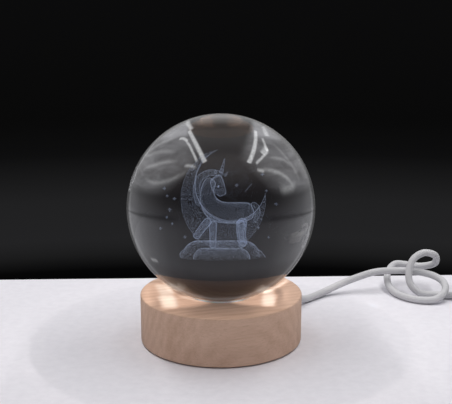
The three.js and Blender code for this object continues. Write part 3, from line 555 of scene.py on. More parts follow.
def speck_maker():
    """Geometry nodes that strew small tetrahedra over a form, denser where it turns edge on to the viewer."""
    group = bpy.data.node_groups.new("specks", "GeometryNodeTree")
    group.interface.new_socket("Form", in_out="INPUT", socket_type="NodeSocketGeometry")
    group.interface.new_socket("Density", in_out="INPUT", socket_type="NodeSocketFloat")
    group.interface.new_socket("Seed", in_out="INPUT", socket_type="NodeSocketInt")
    group.interface.new_socket("Specks", in_out="OUTPUT", socket_type="NodeSocketGeometry")
    given = Wire(group.nodes.new("NodeGroupInput").outputs[0])
    facing = calc("ABSOLUTE", add(group, "SeparateXYZ", {0: add(group, "GeometryNodeInputNormal")})["Y"])
    strewn = add(group, "GeometryNodeDistributePointsOnFaces", {
        "Mesh": given["Form"], "Density": mapped(facing, 0, 0.6, 1.3, 0.85) * given["Density"],
        "Seed": given["Seed"]})
    speck = add(group, "GeometryNodeMeshCone", {
        "Vertices": 3, "Radius Top": 0.0, "Radius Bottom": speck_radius, "Depth": 1.5 * speck_radius})
    turn = add(group, "FunctionNodeRandomValue", {0: (0, 0, 0), 1: (full_turn, full_turn, full_turn)},
               data_type="FLOAT_VECTOR")
    placed = add(group, "GeometryNodeInstanceOnPoints", {
        "Points": strewn, "Instance": speck, "Rotation": turn})
    return gives(group, Specks=add(group, "GeometryNodeRealizeInstances", {"Geometry": placed}))


specks = speck_maker()


def speckled(form, density, seed):
    """Turns a form into specks, with so many on each square millimetre."""
    only(form)
    modifier = form.modifiers.new("specks", "NODES")
    modifier.node_group = specks
    sockets = {item.name: item.identifier for item in specks.interface.items_tree}
    modifier[sockets["Density"]] = density / mm ** 2
    modifier[sockets["Seed"]] = seed
    bpy.ops.object.modifier_apply(modifier=modifier.name)
    return form


def in_order(piece):
    """Puts a mesh's faces and points in one fixed order, because a boolean leaves them in any order."""
    mesh = piece.data
    faces = []
    for face in mesh.polygons:
        places = [tuple(mesh.vertices[i].co) for i in face.vertices]
        first = places.index(min(places))
        faces.append(places[first:] + places[:first])
    faces.sort()
    places = sorted({place for face in faces for place in face})
    number = {place: i for i, place in enumerate(places)}
    piece.data = bpy.data.meshes.new(mesh.name)
    piece.data.from_pydata(places, [], [[number[place] for place in face] for face in faces])
    return piece


# %% Forms of limbs
def limb(name, joints):
    """A tapering form along joints (x, depth, height, radius), in millimetres from the ball's centre."""
    mesh = bpy.data.meshes.new(name)
    mesh.from_pydata([ball_centre + Vector(joint[:3]) * mm for joint in joints],
                     [(i, i + 1) for i in range(len(joints) - 1)], [])
    piece = in_scene(name, mesh)
    only(piece)
    skin = piece.modifiers.new("Skin", "SKIN")
    for point, joint in zip(mesh.skin_vertices[0].data, joints):
        point.radius = (joint[3] * mm, joint[3] * mm)
    bpy.ops.object.modifier_apply(modifier=skin.name)
    return modified(piece, "SUBSURF", levels=2, render_levels=2)


def joined(parts):
    """Joins pieces into the first of them."""
    only(parts[0])
    for part in parts:
        part.select_set(True)
    if len(parts) > 1:
        bpy.ops.object.join()
    return parts[0]


def merged(parts, voxel):
    """Joins overlapping forms, and remeshes them into one skin that is smooth where they meet."""
    piece = modified(joined(parts), "REMESH", mode="VOXEL", voxel_size=voxel * mm)
    return modified(piece, "SMOOTH", factor=0.5, iterations=3)


def gathered(name, parts):
    """Joins strewn forms into one engraved piece that moves with the ball."""
    piece = joined(parts)
    piece.name = name
    piece.data.materials.clear()
    piece.data.materials.append(etched)
    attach(piece, "ball")
    print(name, len(piece.data.polygons) // 4, "specks")
    return piece


# %% The cracks' finish
def etched_material():
    """Tiny cracks scatter light, bluish white. A little glow stands for light that bounces in the glass."""
    made, tree, place = material("etched specks")
    tone = ramp(noise(place, 9000.0, 0.0), [(0.3, (0.42, 0.53, 0.80)), (0.7, (0.72, 0.83, 1.0))])
    return surface(made, add(tree, "BsdfPrincipled", {
        "Base Color": tone, "Roughness": 0.6, "Emission Color": tone, "Emission Strength": 0.12}))


etched = etched_material()

# %% The unicorn
body = [
    limb("body", [
        (9.2, 0, -0.5, 1.9), (8.0, 0, -0.9, 2.7), (5.6, 0, -1.4, 3.2), (2.8, 0, -1.6, 3.25), (0, 0, -1.4, 3.3),
        (-2.5, 0, -0.4, 3.45), (-3.7, 0, 2.2, 2.6), (-4.0, 0, 4.6, 2.15), (-3.6, 0, 6.8, 2.05),
        (-2.2, 0, 8.5, 1.8)]),
]
head = [
    limb("head", [(-2.0, 0, 9.0, 1.9), (-1.3, 0, 8.1, 2.3), (-0.6, 0, 6.3, 1.85), (0.3, 0, 4.6, 1.35),
                  (0.9, 0, 3.6, 0.95)]),
    limb("jaw", [(-2.3, 0, 7.4, 1.5), (-1.4, 0, 5.6, 1.25), (-0.4, 0, 4.2, 0.9), (0.3, 0, 3.5, 0.7)]),
    limb("near ear", [(-1.4, -0.9, 10.2, 0.55), (-1.6, -1.0, 11.0, 0.45), (-1.7, -1.1, 12.0, 0.1)]),
    limb("far ear", [(0.9, 0.9, 9.0, 0.5), (1.5, 1.0, 9.7, 0.4), (2.1, 1.1, 10.4, 0.1)]),
]
horn = [limb("horn", [(0, 0, 10.2, 0.66), (0.5, 0, 12.2, 0.42), (1.15, 0, 15.0, 0.12)])]
eye = [limb("eye", [(-1.0, -1.9, 6.9, 0.42), (-0.5, -1.9, 6.8, 0.42)])]
legs = [
    limb("near foreleg", [(-2.25, -1.2, -3.4, 1.4), (-2.25, -1.4, -7.2, 1.02), (-2.25, -1.4, -10.4, 0.98),
                          (-2.25, -1.4, -11.3, 1.05)]),
    limb("raised foreleg", [(-3.0, 1.2, -3.4, 1.3), (-5.2, 1.4, -6.2, 1.1), (-6.6, 1.4, -8.2, 1.0),
                            (-7.1, 1.4, -9.0, 1.1)]),
    limb("near hind leg", [(5.6, -1.3, -3.2, 1.7), (5.4, -1.4, -7.2, 1.05), (5.9, -1.4, -10.4, 1.0),
                           (6.1, -1.4, -11.1, 1.1)]),
    limb("far hind leg", [(5.9, 1.3, -3.2, 1.7), (5.7, 1.4, -7.2, 1.05), (6.1, 1.4, -10.4, 1.0),
                          (6.2, 1.4, -11.1, 1.05)]),
]
hair = [
    limb("mane", [(0.8, -0.3, 10.0, 0.6), (-1.4, -0.3, 10.6, 0.95), (-4.0, 0, 10.3, 1.1), (-6.1, 0, 8.9, 1.1),
                  (-6.9, 0, 6.6, 1.1), (-7.0, 0, 4.0, 1.0), (-6.7, 0, 1.8, 0.8), (-6.2, 0, 0.3, 0.4)]),
    limb("tail", [(8.4, 0, 1.3, 0.5), (9.9, 0, 0.9, 0.75), (10.5, 0, -0.9, 0.85), (10.0, 0, -2.9, 0.8),
                  (8.9, 0, -4.6, 0.35)]),
]
# Each is (forms, voxel in millimetres, specks on a square millimetre), and its number is its seed.
unicorn_parts = [
    (body, 0.3, 18), (head, 0.2, 20), (horn, 0.08, 28), (legs, 0.2, 37), (hair, 0.3, 19), (eye, 0.12, 130)]
gathered("engraved_unicorn", [
    speckled(merged(forms, voxel), density, seed)
    for seed, (forms, voxel, density) in enumerate(unicorn_parts, 1)])


# %% The crescent moon
def ball_form(name, x, depth, height, radius, flatness=1.0, tallness=1.0):
    """A round form, with its own share of depth and of height."""
    piece = basic(bpy.ops.mesh.primitive_uv_sphere_add, segments=48, ring_count=24, radius=radius * mm)
    piece.name = name
    return settled(piece, ball_centre + Vector((x, depth, height)) * mm, scale=(1, flatness, tallness))


def cut(piece, tool):
    """Cuts a tool's shape out of a piece, and throws the tool away."""
    modified(piece, "BOOLEAN", object=tool, operation="DIFFERENCE", solver="EXACT")
    bpy.data.objects.remove(tool)
    return piece


moon_depth = 3.2
moon = ball_form("moon", 0.62, moon_depth, 2.2, 11.7, 0.16, 1.22)
bite = basic(bpy.ops.mesh.primitive_cylinder_add, vertices=64, radius=9.9 * mm, depth=8 * mm)
settled(bite, ball_centre + Vector((2.7, moon_depth, 6.2)) * mm, (math.pi / 2, 0, 0), (1, 1.1, 1))
gathered("engraved_moon", [speckled(in_order(cut(moon, bite)), 15, 7)])

# %% The cloud
cloud_bottom = -14.3


def cloud_form(puffs, depth):
    """Round puffs merged into one form, which is cut off level at the bottom."""
    form = merged([ball_form("puff", x, depth, z, radius, 1.5) for x, z, radius in puffs], 0.25)
    level = ball_centre + Vector((0, 0, cloud_bottom)) * mm
    below = {"plane_co": level, "plane_no": (0, 0, -1), "clear_outer": True}
    return edited(form, (bpy.ops.mesh.bisect, below))


far_puffs = ([(-6.0 + 1.5 * i, -14.1, 4.6) for i in range(9)]
             + [(-9.9, -13.4, 1.4), (8.6, -12.3, 1.5), (10.0, -13.4, 1.4), (11.2, -14.2, 1.0)])
near_puffs = [(-4.6 + 1.6 * i, -14.3, 3.3) for i in range(7)] + [(6.6, -13.2, 1.5), (-6.4, -13.6, 1.5)]
gathered("engraved_cloud", [
    speckled(cloud_form(far_puffs, 0.5), 13, 8), speckled(cloud_form(near_puffs, -3.5), 13, 9)])


# %% The stars
def star(x, depth, height, radius):
    """A small star with four points."""
    middle = ball_centre + Vector((x, depth, height)) * mm
    piece = basic(bpy.ops.mesh.primitive_circle_add, vertices=8, radius=radius * mm, fill_type="NGON")
    settled(piece, middle, (math.pi / 2, 0, 0))
    for vertex in list(piece.data.vertices)[1::2]:
        vertex.co = middle.lerp(vertex.co, 0.4)
    return modified(piece, "SOLIDIFY", thickness=0.2 * mm)


star_places = [
    (-16, 2, 5.1, 0.5), (-14.5, 0, -0.6, 0.6), (-15.8, -3, -2.1, 0.45), (-12.7, 4, 1.5, 0.5),
    (4.5, 0, 6.6, 0.55), (15.6, 1, 0.8, 0.5), (-16.4, 3, -6.5, 0.45), (-10.5, -5, -7.6, 0.5),
    (11.5, 4, 8.6, 0.5), (13.6, -2, -8.2, 0.4), (-14.9, 3, 2.6, 0.4), (-13.4, 2, -5.0, 0.4),
    (10.2, 2, -6.1, 0.4), (12.6, 3, 4.1, 0.4),
]
streak = limb("streak", [(6.9, 0, 4.8, 0.06), (8.8, 0, 7.0, 0.06)])
gathered("engraved_stars", [
    *(speckled(star(*place), 34, 10 + i) for i, place in enumerate(star_places)), speckled(streak, 40, 30)])


# %% [markdown]
# ## Soft white plastic of the cord
# The jacket is soft and silky, so its highlight is broad. A faint unevenness keeps it from looking cut
# from one solid colour.

# %% The cord's jacket
def jacket_material():
    """Soft white plastic, a little cloudy."""
    made, tree, place = material("cord jacket")
    tone = ramp(noise(place, 90.0, 3.0), [(0.3, (0.55, 0.55, 0.57)), (0.7, (0.62, 0.62, 0.64))])
    bump = add(tree, "Bump", {"Height": noise(place, 1800.0, 2.0), "Strength": 0.08, "Distance": 0.0001})
    return surface(made, add(tree, "BsdfPrincipled", {
        "Base Color": tone, "Roughness": 0.42, "Normal": bump, "Sheen Weight": 0.05}))


jacket = jacket_material()
for cord in (cord_to_switch, cord_to_plug):
    cord.data.materials.append(jacket)
print("jacket", len(jacket.node_tree.nodes), "nodes")


# %% [markdown]
# ## Shared finishes
# Moulded plastic, rubber and metal all have a fine unevenness and gather a little dust or fine scratches.
# Two groups give these as a tone, a roughness and a height, and each material sets its own values.

# %% Groups for moulded and for metal surfaces
def moulded_surface():
    """A faint cloudiness and a fine grain, as moulded plastic has."""
    group, given = new_group("moulded surface", looks, Vector=None, Grain=2500.0,
                             Color=(0.8, 0.8, 0.8, 1), Soiled=(0.7, 0.7, 0.69, 1))
    cloudy = noise(given["Vector"], 120.0, 4.0)
    tone = mixed(mapped(cloudy, 0.4, 0.75), given["Color"], given["Soiled"])
    return gives(group, Color=tone, Roughness=mapped(cloudy, 0, 1, 0.30, 0.55),
                 Height=noise(given["Vector"], given["Grain"], 2.0))


def metal_surface():
    """Fine scratches in all directions, and stains where the plating has dulled."""
    group, given = new_group("metal surface", looks, Vector=None,
                             Bright=(0.75, 0.76, 0.78, 1), Dull=(0.5, 0.5, 0.5, 1))
    stains = mapped(noise(given["Vector"], 500.0, 5.0), 0.45, 0.8)
    scratches = noise(given["Vector"] * (9000.0, 700.0, 9000.0), 1.0, 3.0)
    return gives(group, Color=mixed(stains, given["Bright"], given["Dull"]),
                 Roughness=mapped(scratches, 0, 1, 0.18, 0.42), Height=scratches)


moulded, plated = moulded_surface(), metal_surface()
print("groups", moulded.name, plated.name)


# %% Materials made from the groups
def moulding(name, colour, soiled, grain, strength, **sockets):
    """Moulded plastic or rubber in one colour."""
    inputs = {"Grain": grain, "Color": (*colour, 1), "Soiled": (*soiled, 1)}
    return from_group(name, moulded, inputs, strength, 0.0001, **sockets)


def metal(name, bright, dull):
    """Plated metal."""
    inputs = {"Bright": (*bright, 1), "Dull": (*dull, 1)}
    return from_group(name, plated, inputs, 0.05, 0.00005, Metallic=1.0)


white_plastic = moulding("white moulding", (0.82, 0.82, 0.82), (0.76, 0.76, 0.75), 1800.0, 0.06)
black_plate = moulding("black moulding", (0.030, 0.030, 0.032), (0.060, 0.060, 0.060), 1400.0, 0.5)
pad_rubber = moulding("pad rubber", (0.30, 0.31, 0.32), (0.42, 0.42, 0.41), 900.0, 0.4)
tie_plastic = moulding("tie covering", (0.025, 0.025, 0.028), (0.05, 0.05, 0.05), 3000.0, 0.1)
lead_red = moulding("red insulation", (0.55, 0.03, 0.02), (0.42, 0.04, 0.03), 4000.0, 0.05)
lead_black = moulding("black insulation", (0.02, 0.02, 0.022), (0.05, 0.05, 0.05), 4000.0, 0.05)
resistor_coat = moulding("resistor coat", (0.03, 0.03, 0.034), (0.07, 0.07, 0.07), 5000.0, 0.1)
frosted = moulding("frosted lens", (0.92, 0.92, 0.89), (0.86, 0.86, 0.83), 1500.0, 0.3,
                   **{"Subsurface Weight": 0.3, "Subsurface Scale": 0.002})
steel = metal("zinc plating", (0.70, 0.71, 0.73), (0.45, 0.46, 0.47))
nickel = metal("nickel plating", (0.74, 0.73, 0.71), (0.58, 0.57, 0.55))
brass = metal("brass strip", (0.83, 0.62, 0.28), (0.60, 0.42, 0.18))
print("materials", len(bpy.data.materials))

# %% The light board's finishes
dome_height, dome_reach = 1.72 * mm, 0.06 * mm


def board_material():
    """White solder mask, a little brighter over the copper areas that lie under it."""
    made, tree, place = material("solder mask")
    copper = add(tree, "TexVoronoi", {"Vector": place, "Scale": 170.0}, feature="DISTANCE_TO_EDGE")
    edge = ramp(copper["Distance"], [(0.02, 0), (0.06, 1)])
    bump = add(tree, "Bump", {"Height": edge, "Strength": 0.2, "Distance": 0.00005})
    return surface(made, add(tree, "BsdfPrincipled", {
        "Base Color": mixed(edge, (0.62, 0.66, 0.62, 1), (0.84, 0.87, 0.84, 1)), "Roughness": 0.32,
        "Normal": bump}))


def phosphor_material():
    """Yellow resin in the middle of each diode, white case round it, told apart by height."""
    made, tree, place = material("phosphor")
    dome = board_high.z + dome_height
    dome = mapped(add(tree, "SeparateXYZ", {0: place})["Z"], dome, dome + dome_reach)
    resin = ramp(noise(place, 6000.0, 2.0), [(0.3, (0.80, 0.60, 0.12)), (0.7, (0.95, 0.78, 0.25))])
    return surface(made, add(tree, "BsdfPrincipled", {
        "Base Color": mixed(dome, (0.85, 0.85, 0.82, 1), resin), "Roughness": 0.35}))


finishes = {
    board_material(): ["led_board"], phosphor_material(): ["led_1", "led_2", "led_3"],
    resistor_coat: ["resistor_1", "resistor_2", "resistor_3"], steel: ["board_screw_1", "board_screw_2"],
    jacket: ["jacket_end"], lead_red: ["lead_positive", "switch_lead_in", "switch_lead_out"],
    lead_black: ["lead_negative", "switch_lead_through"],
    brass: ["switch_bridge_contact", "switch_line_contact", "switch_load_contact",
            "plug_contact_1", "plug_contact_2", "plug_contact_3", "plug_contact_4"],
}
for finish, names in finishes.items():
    for name in names:
        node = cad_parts[name]
        node.data.materials.clear()
        node.data.materials.append(finish)
print("inner nodes finished:", sum(len(names) for names in finishes.values()))

# %% [markdown]
# ## Underside and lens
# The bottom plate is a black disc with three countersunk screws, and four soft pads carry the base. From
# above, a frosted lens lies in the seat under the ball. All are round, so they are turned.

# %% Lens
lens_inner, lens_floor = lens_high.x - 1.2 * mm, lens_high.z - 0.5 * mm
lens = lathe("lens_frosted", [
    (0, lens_low.z), (lens_high.x, lens_low.z), (lens_high.x, lens_high.z), (lens_inner, lens_high.z),
    (lens_inner, lens_floor), (0, lens_floor)])
stands_for(rounded(lens, 0.12 * mm, 2), "light_lens", frosted)

# %% Screws
head_height, head_edge = 1.2 * mm, 0.15 * mm
dome_share, dome_side_share, shank_share, root_share, tip_share = 0.8, 0.4, 0.45, 0.78, 0.7
thread_turns, thread_step = 7, 0.18 * mm
slot_reach_share, slot_half, slot_depth = 0.7, 0.25 * mm, 0.5 * mm


def round_place(node):
    """A round node's radius, the middle of its foot, and its height."""
    low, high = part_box(node)
    middle = (low + high) / 2
    return (high.x - low.x) / 2, (middle.x, middle.y, low.z), high.z - low.z


def screw_at(name, node, sunk):
    """A screw seen from below, in the place of its node: head, tapered neck, shank and cross recess."""
    head, foot, length = round_place(node)
    shank = head * shank_share
    outline = [(0, 0), (head, 0), (head, head_edge)]
    if not sunk:
        outline = [(0, 0), (head * dome_share, 0), (head, head_height * dome_side_share), (head, head_height)]
    outline.append((shank, head_height))
    for i in range(thread_turns):
        z = head_height + (length - head_height - shank) * (i + 0.5) / thread_turns
        outline += [(shank * root_share, z - thread_step), (shank, z)]
    outline += [(shank * tip_share, length - shank), (0, length)]
    piece = lathe(name, outline, sides=32)
    for scale in ((head * slot_reach_share, slot_half), (slot_half, head * slot_reach_share)):
        bar = basic(bpy.ops.mesh.primitive_cube_add, size=2)
        cut(piece, settled(bar, scale=(*scale, slot_depth)))
    return stands_for(rounded(settled(piece, foot), 0.04 * mm, 2), node, steel)


for i in range(1, 4):
    screw_at(f"screw_plate_{i}", f"plate_screw_{i}", True)

# %% Bottom plate and pads
plate_panel = plate_low.z + 0.4 * mm
panel_radius, step_radius = 9.0 * mm, 9.6 * mm
sink_from, sink_neck, sink_to = -1 * mm, 1.5 * mm, 4 * mm
plate = lathe("plate_bottom", [
    (0, plate_panel), (panel_radius, plate_panel), (step_radius, plate_low.z), (plate_high.x, plate_low.z),
    (plate_high.x, plate_high.z), (0, plate_high.z)], sides=120)
for i in range(1, 4):
    radius, foot, _ = round_place(f"plate_screw_{i}")
    wide, neck = radius + gap, (radius + gap) / 2
    hole = lathe("sink", [(0, sink_from), (wide, sink_from), (wide, gap), (neck, sink_neck),
                          (neck, sink_to), (0, sink_to)], sides=48)
    cut(plate, settled(hole, (foot[0], foot[1], plate_low.z)))
stands_for(rounded(plate, 0.25 * mm, 2), "bottom_plate", black_plate)

for i in range(1, 5):
    radius, foot, height = round_place(f"foot_pad_{i}")
    pad = lathe(f"pad_{i}", [(0, 0), (radius, 0), (radius, height), (0, height)], sides=48)
    stands_for(rounded(settled(pad, foot), 0.3 * mm), f"foot_pad_{i}", pad_rubber)

# %% [markdown]
# ## Cord gland
# A soft moulding leads the cord out of the wood. Outside it tapers over four ridges, which let it bend.
# It is turned along +Z, and then laid down and swung to the cord's direction.

# %% Turn the gland and bore its hole in the wood
neck_radius, tip_radius = 2.6 * mm, 2.2 * mm
boot_from, boot_to = base_radius + gap, base_radius + 9 * mm
flange_radius, flange_thickness = 3.7 * mm, 1.5 * mm
flange_out = math.sqrt(cavity_radius ** 2 - flange_radius ** 2) - gap
flange_in = flange_out - flange_thickness
ridge_count, ridge_depth = 4, 0.3 * mm
ridge_shares = ((0, 0), (0.42, 0), (0.55, 1), (0.88, 1))
boot = []
for i in range(ridge_count):
    for share, sunk in ridge_shares:
        along = (i + share) / ridge_count
        radius = neck_radius + (tip_radius - neck_radius) * along - sunk * ridge_depth
        boot.append((radius, boot_from + (boot_to - boot_from) * along))
gland = lathe("gland_boot", [
    (0, flange_in), (flange_radius, flange_in), (flange_radius, flange_out), (neck_radius, flange_out),
    *boot, (tip_radius, boot_to), (0, boot_to)], sides=64)


def along_exit(piece):
    """Lays a piece that was turned along +Z down, and swings it to the cord's exit."""
    return settled(piece, (0, 0, gland_height), (0, math.pi / 2, gland_azimuth))


stands_for(rounded(along_exit(gland), 0.12 * mm, 2), "cord_gland", jacket)
bore_from, bore_to, bore_radius = cavity_radius - 1 * mm, base_radius + 1 * mm, neck_radius + gap
bore = lathe("bore", [(0, bore_from), (bore_radius, bore_from), (bore_radius, bore_to), (0, bore_to)], sides=64)
cut(base, along_exit(bore))
print("wood with its bore", len(base.data.vertices), "corners")


# %% [markdown]
# ## Switch, plug and tie
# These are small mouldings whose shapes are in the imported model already, with flat faces. A copy of each
# is welded, its flat areas are cleaned, and its edges are rounded, as a moulding's always are.

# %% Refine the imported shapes
clean_flats = (bpy.ops.mesh.dissolve_limited, {"angle_limit": math.radians(1)})


def refined(name, node, finish, width, body="base"):
    """A welded copy of a node with its edges rounded."""
    piece = edited(in_scene(name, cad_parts[node].data.copy()), weld, clean_flats, face_outwards)
    return stands_for(rounded(piece, width, angle=35), node, finish, body)


refined("switch_low", "switch_lower_case", white_plastic, 0.15 * mm)
refined("switch_top", "switch_upper_case", white_plastic, 0.15 * mm)
refined("rocker", "switch_rocker", white_plastic, 0.35 * mm, "rocker")
for i in (1, 2):
    screw_at(f"screw_switch_{i}", f"switch_screw_{i}", False)
refined("plug_moulding", "plug_body", white_plastic, 0.2 * mm)
refined("plug_sleeve", "plug_shell", nickel, 0.06 * mm)
refined("plug_insulator", "plug_tongue", white_plastic, 0.12 * mm)
refined("tie", "coil_tie", tie_plastic, 0.18 * mm)

# %% [markdown]
# ## Table, lamps and surroundings
# The table is a pale slab whose far edge runs just behind the base. Past it there is only black. Two
# strips of small lamps hang over the table, left and right, and run from front to back. Seen through the
# ball, the far part of the table belongs to the painted surroundings.

# %% The table
edge_left, edge_right = Vector((-93.1, 82.7, 0)) * mm, Vector((68.1, 88.2, 0)) * mm
table_width, table_depth, table_thickness = 2.6, 1.6, 0.03
painted_from = 0.038
edge_turn = math.atan2(edge_right.y - edge_left.y, edge_right.x - edge_left.x)
inwards = Vector((math.sin(edge_turn), -math.cos(edge_turn), 0))
table_centre = (edge_left + edge_right + inwards * table_depth - Vector((0, 0, table_thickness))) / 2
table = basic(bpy.ops.mesh.primitive_cube_add, size=1)
table.name = "table"
settled(table, table_centre, (0, 0, edge_turn), (table_width, table_depth, table_thickness))
rounded(table, 1 * mm)


def table_material():
    """A pale, finely mottled top, a painted darker grey in mirrors. Its far part is clear for rays that left
    the glass.
    """
    made, tree, place = material("table")
    mottle = noise(place, 260.0, 5.0, 0.6)
    tone = ramp(mottle, [(0.3, (0.73, 0.72, 0.77)), (0.7, (0.79, 0.78, 0.83))])
    bump = add(tree, "Bump", {"Height": mottle, "Strength": 0.15, "Distance": 0.0003})
    path = add(tree, "LightPath")
    # Mirrored rays see a darker grey top: a painted shade in the table's reflection.
    solid = add(tree, "BsdfPrincipled", {
        "Base Color": mixed(path["Is Glossy Ray"], tone, (0.22, 0.22, 0.235, 1)), "Roughness": 0.7,
        "Normal": bump})
    beyond = calc("GREATER_THAN", add(tree, "SeparateXYZ", {0: place})["Y"], painted_from)
    clear = add(tree, "BsdfTransparent")
    hidden = path["Is Transmission Ray"] * beyond
    return surface(made, add(tree, "MixShader", {0: hidden, 1: solid, 2: clear}))


table.data.materials.append(table_material())
print("table", [round(x, 3) for x in table_centre])

# %% The lamps
lamp_height = 450 * mm
strip_width = 24 * mm
lamp_power = 1.34
strips = {"left": ((-192, 340, 0), (-122, -173, 0)), "right": ((205, 344, 0), (227, -145, 0))}


def strip_lamp(name, far, near):
    """A long narrow lamp that hangs over the table and shines down."""
    far, near = Vector(far) * mm, Vector(near) * mm
    data = bpy.data.lights.new(name, "AREA")
    data.shape = "RECTANGLE"
    data.size = strip_width
    data.size_y = (far - near).length
    data.energy = lamp_power
    data.color = (1, 0.985, 0.97)
    lamp = in_scene(name, data)
    along = far - near
    lamp.location = near.lerp(far, 0.5) + Vector((0, 0, lamp_height))
    lamp.rotation_euler = (0, 0, math.atan2(along.y, along.x) - math.pi / 2)
    # Hidden from mirrored and refracted rays: the ball shows these lamps only as painted strips of light in the
    # surroundings.
    lamp.visible_glossy = lamp.visible_transmission = False
    return lamp


lamps = [strip_lamp(f"strip_{side}", *ends) for side, ends in strips.items()]
print("lamps", len(lamps))

# %% [markdown]
# ## What the ball shows
# A solid ball turns everything behind it upside down, and squeezes nearly half a room into its outline.
# So what a ray that leaves the glass meets is painted as a function of its direction: grey walls, a dark
# line where they meet the floor, bright clouds low down on both sides, and the strips of light. Rays
# that are mirrored get a plain version of the same, because they are few and would only give grain.

# %% A soft curved streak
def wisp_shape():
    """A streak that is bent like a bow: one in its middle, and nothing outside its reach and width."""
    group, given = new_group("wisp", ["Value"], Vector=None, Location=None, Rotation=None, Scale=None,
                             Bend=0.0, Edge=2.0, Fullness=1.0, Strength=1.0)
    names = ("Vector", "Location", "Rotation", "Scale")
    own = add(group, "Mapping", {name: given[name] for name in names}, vector_type="TEXTURE")
    own = add(group, "SeparateXYZ", {0: own})
    square = own["X"] * own["X"]
    inside = calc("MINIMUM", calc("MAXIMUM", 1.0 - square, 0.0) * given["Fullness"], 1.0)
    away = calc("POWER", calc("ABSOLUTE", own["Y"] - square * given["Bend"]), given["Edge"])
    return gives(group, Value=inside * calc("EXPONENT", away * -1.0) * given["Strength"])


wisp = wisp_shape()


def streak_at(place, x, z, angle, reach, width, bend, strength, edge, fullness):
    """One streak at a place of a map, turned by an angle in degrees."""
    return add(place.tree, "Group", {
        "Vector": place, "Location": (x, z, 0), "Rotation": (0, 0, math.radians(angle)),
        "Scale": (reach, width, 1), "Bend": bend, "Edge": edge, "Fullness": fullness, "Strength": strength,
    }, node_tree=wisp)


print("streak", len(wisp.nodes), "nodes")

# %% Directions
world = bpy.data.worlds.new("surroundings")
bpy.context.scene.world = world
world.use_nodes = True
sky = world.node_tree
sky.nodes.clear()
way = add(sky, "SeparateXYZ", {0: add(sky, "TexCoord")["Generated"]})
up, forward = way["Z"], way["Y"]
rise = mapped(up, -1.0, 1.0)
aside, ahead = calc("ABSOLUTE", way["X"]), calc("ABSOLUTE", forward)
level = add(sky, "CombineXYZ", {"X": way["X"], "Y": up, "Z": 0.0})
loose = jittered(level, 5.0, 3.0, 0.03)

# %% Walls, line and clouds
wall = ramp(rise, [
    (0.000, (0.330, 0.326, 0.328)), (0.025, (0.135, 0.132, 0.132)), (0.050, (0.040, 0.037, 0.036)),
    (0.060, (0.006, 0.004, 0.004)), (0.080, (0.008, 0.006, 0.006)), (0.095, (0.026, 0.023, 0.022)),
    (0.150, (0.021, 0.018, 0.018)), (0.195, (0.015, 0.012, 0.012)), (0.225, (0.029, 0.025, 0.025)),
    (0.255, (0.028, 0.024, 0.024)), (0.280, (0.025, 0.022, 0.022)), (0.305, (0.018, 0.016, 0.017)),
    (0.330, (0.0115, 0.0100, 0.0110)), (0.355, (0.0070, 0.0062, 0.0070)), (0.380, (0.0095, 0.0085, 0.0095)),
    (0.405, (0.018, 0.017, 0.019)), (0.430, (0.024, 0.023, 0.026)), (0.500, (0.030, 0.029, 0.032)),
    (0.580, (0.032, 0.031, 0.034)), (0.625, (0.034, 0.033, 0.036)), (0.675, (0.024, 0.022, 0.024)),
    (0.740, (0.015, 0.011, 0.011)), (0.800, (0.008, 0.005, 0.004)), (0.870, (0.002, 0.001, 0.001)),
])
sideways = ramp(aside, [
    (0.25, 0.0), (0.40, 0.010), (0.50, 0.030), (0.60, 0.050), (0.70, 0.085), (0.80, 0.150), (0.90, 0.215),
    (1.0, 0.22)])
sideways *= ramp(rise, [
    (0.28, 0.0), (0.33, 0.30), (0.38, 0.62), (0.43, 0.62), (0.47, 1.0), (0.64, 1.0), (0.75, 0.6), (0.85, 0.2)])

line_drop, line_width = 0.155, 0.024
slope = up / calc("MAXIMUM", ahead, 0.05)
line = bell((slope + line_drop) / line_width) * blend_in(aside, 0.22, 0.38, high=0.5)

cloudy = ramp(mapped(aside - up, 0.5, 1.5), [
    (0.16, 0.0), (0.24, 0.040), (0.30, 0.070), (0.40, 0.100), (0.60, 0.122), (0.70, 0.150), (0.80, 0.190),
    (0.90, 0.230)])
shreds = noise(loose * (4.0, 11.0, 1.0), 1.0, 4.0, 0.6, 0.9)
cloudy = cloudy * blend_in(up, -0.27, -0.39) * blend_in(shreds, 0.30, 0.72, 0.70, 1.35)
cloudy += blend_in(up, -0.74, -0.80, high=0.19) * blend_in(aside, 0.24, 0.32) * blend_in(aside, 0.66, 0.52)
cloudy *= blend_in(aside + up * 0.48, -0.17, -0.08)

# %% Streaks and strips of light
# Each is (x, z, angle in degrees, reach, width, bend, strength).
# The streaks are painted glints and bright wisps, seen in the ball.
soft_streaks = [
    (0.53, -0.535, 9.5, 0.22, 0.018, 1.4, 0.13), (0.43, -0.39, 8.5, 0.24, 0.017, -3.6, 0.10),
    (0.57, -0.64, 5.7, 0.22, 0.018, 1.9, 0.11), (0.60, -0.71, 24, 0.25, 0.016, 2.4, 0.12),
    (-0.455, -0.462, -21, 0.18, 0.017, 3.0, 0.17), (-0.54, -0.34, 8, 0.11, 0.030, -0.6, 0.13),
    (-0.50, -0.575, -12, 0.12, 0.014, 1.6, 0.10), (-0.59, -0.575, -51.5, 0.23, 0.018, 1.6, 0.09),
    (0.60, 0.31, 20, 0.06, 0.02, 0, 0.20), (0.212, -0.503, -6, 0.052, 0.013, 0.5, 0.24),
    (-0.287, -0.478, -12, 0.036, 0.012, 0, 0.26),
]
bright_streaks = [
    (0.210, -0.624, -58.8, 0.106, 0.010, 0.9, 0.34), (0.303, -0.742, -24, 0.054, 0.013, 1.5, 0.40),
    (-0.371, -0.689, -85, 0.068, 0.013, 0, 0.34), (-0.314, -0.576, 38.4, 0.086, 0.010, 0.4, 0.34),
    (-0.350, -0.632, 40, 0.045, 0.020, 0, 0.34), (0.300, -0.892, -49, 0.075, 0.020, 0, 0.42),
    (-0.424, -0.833, -89.5, 0.060, 0.026, 0, 0.34),
]
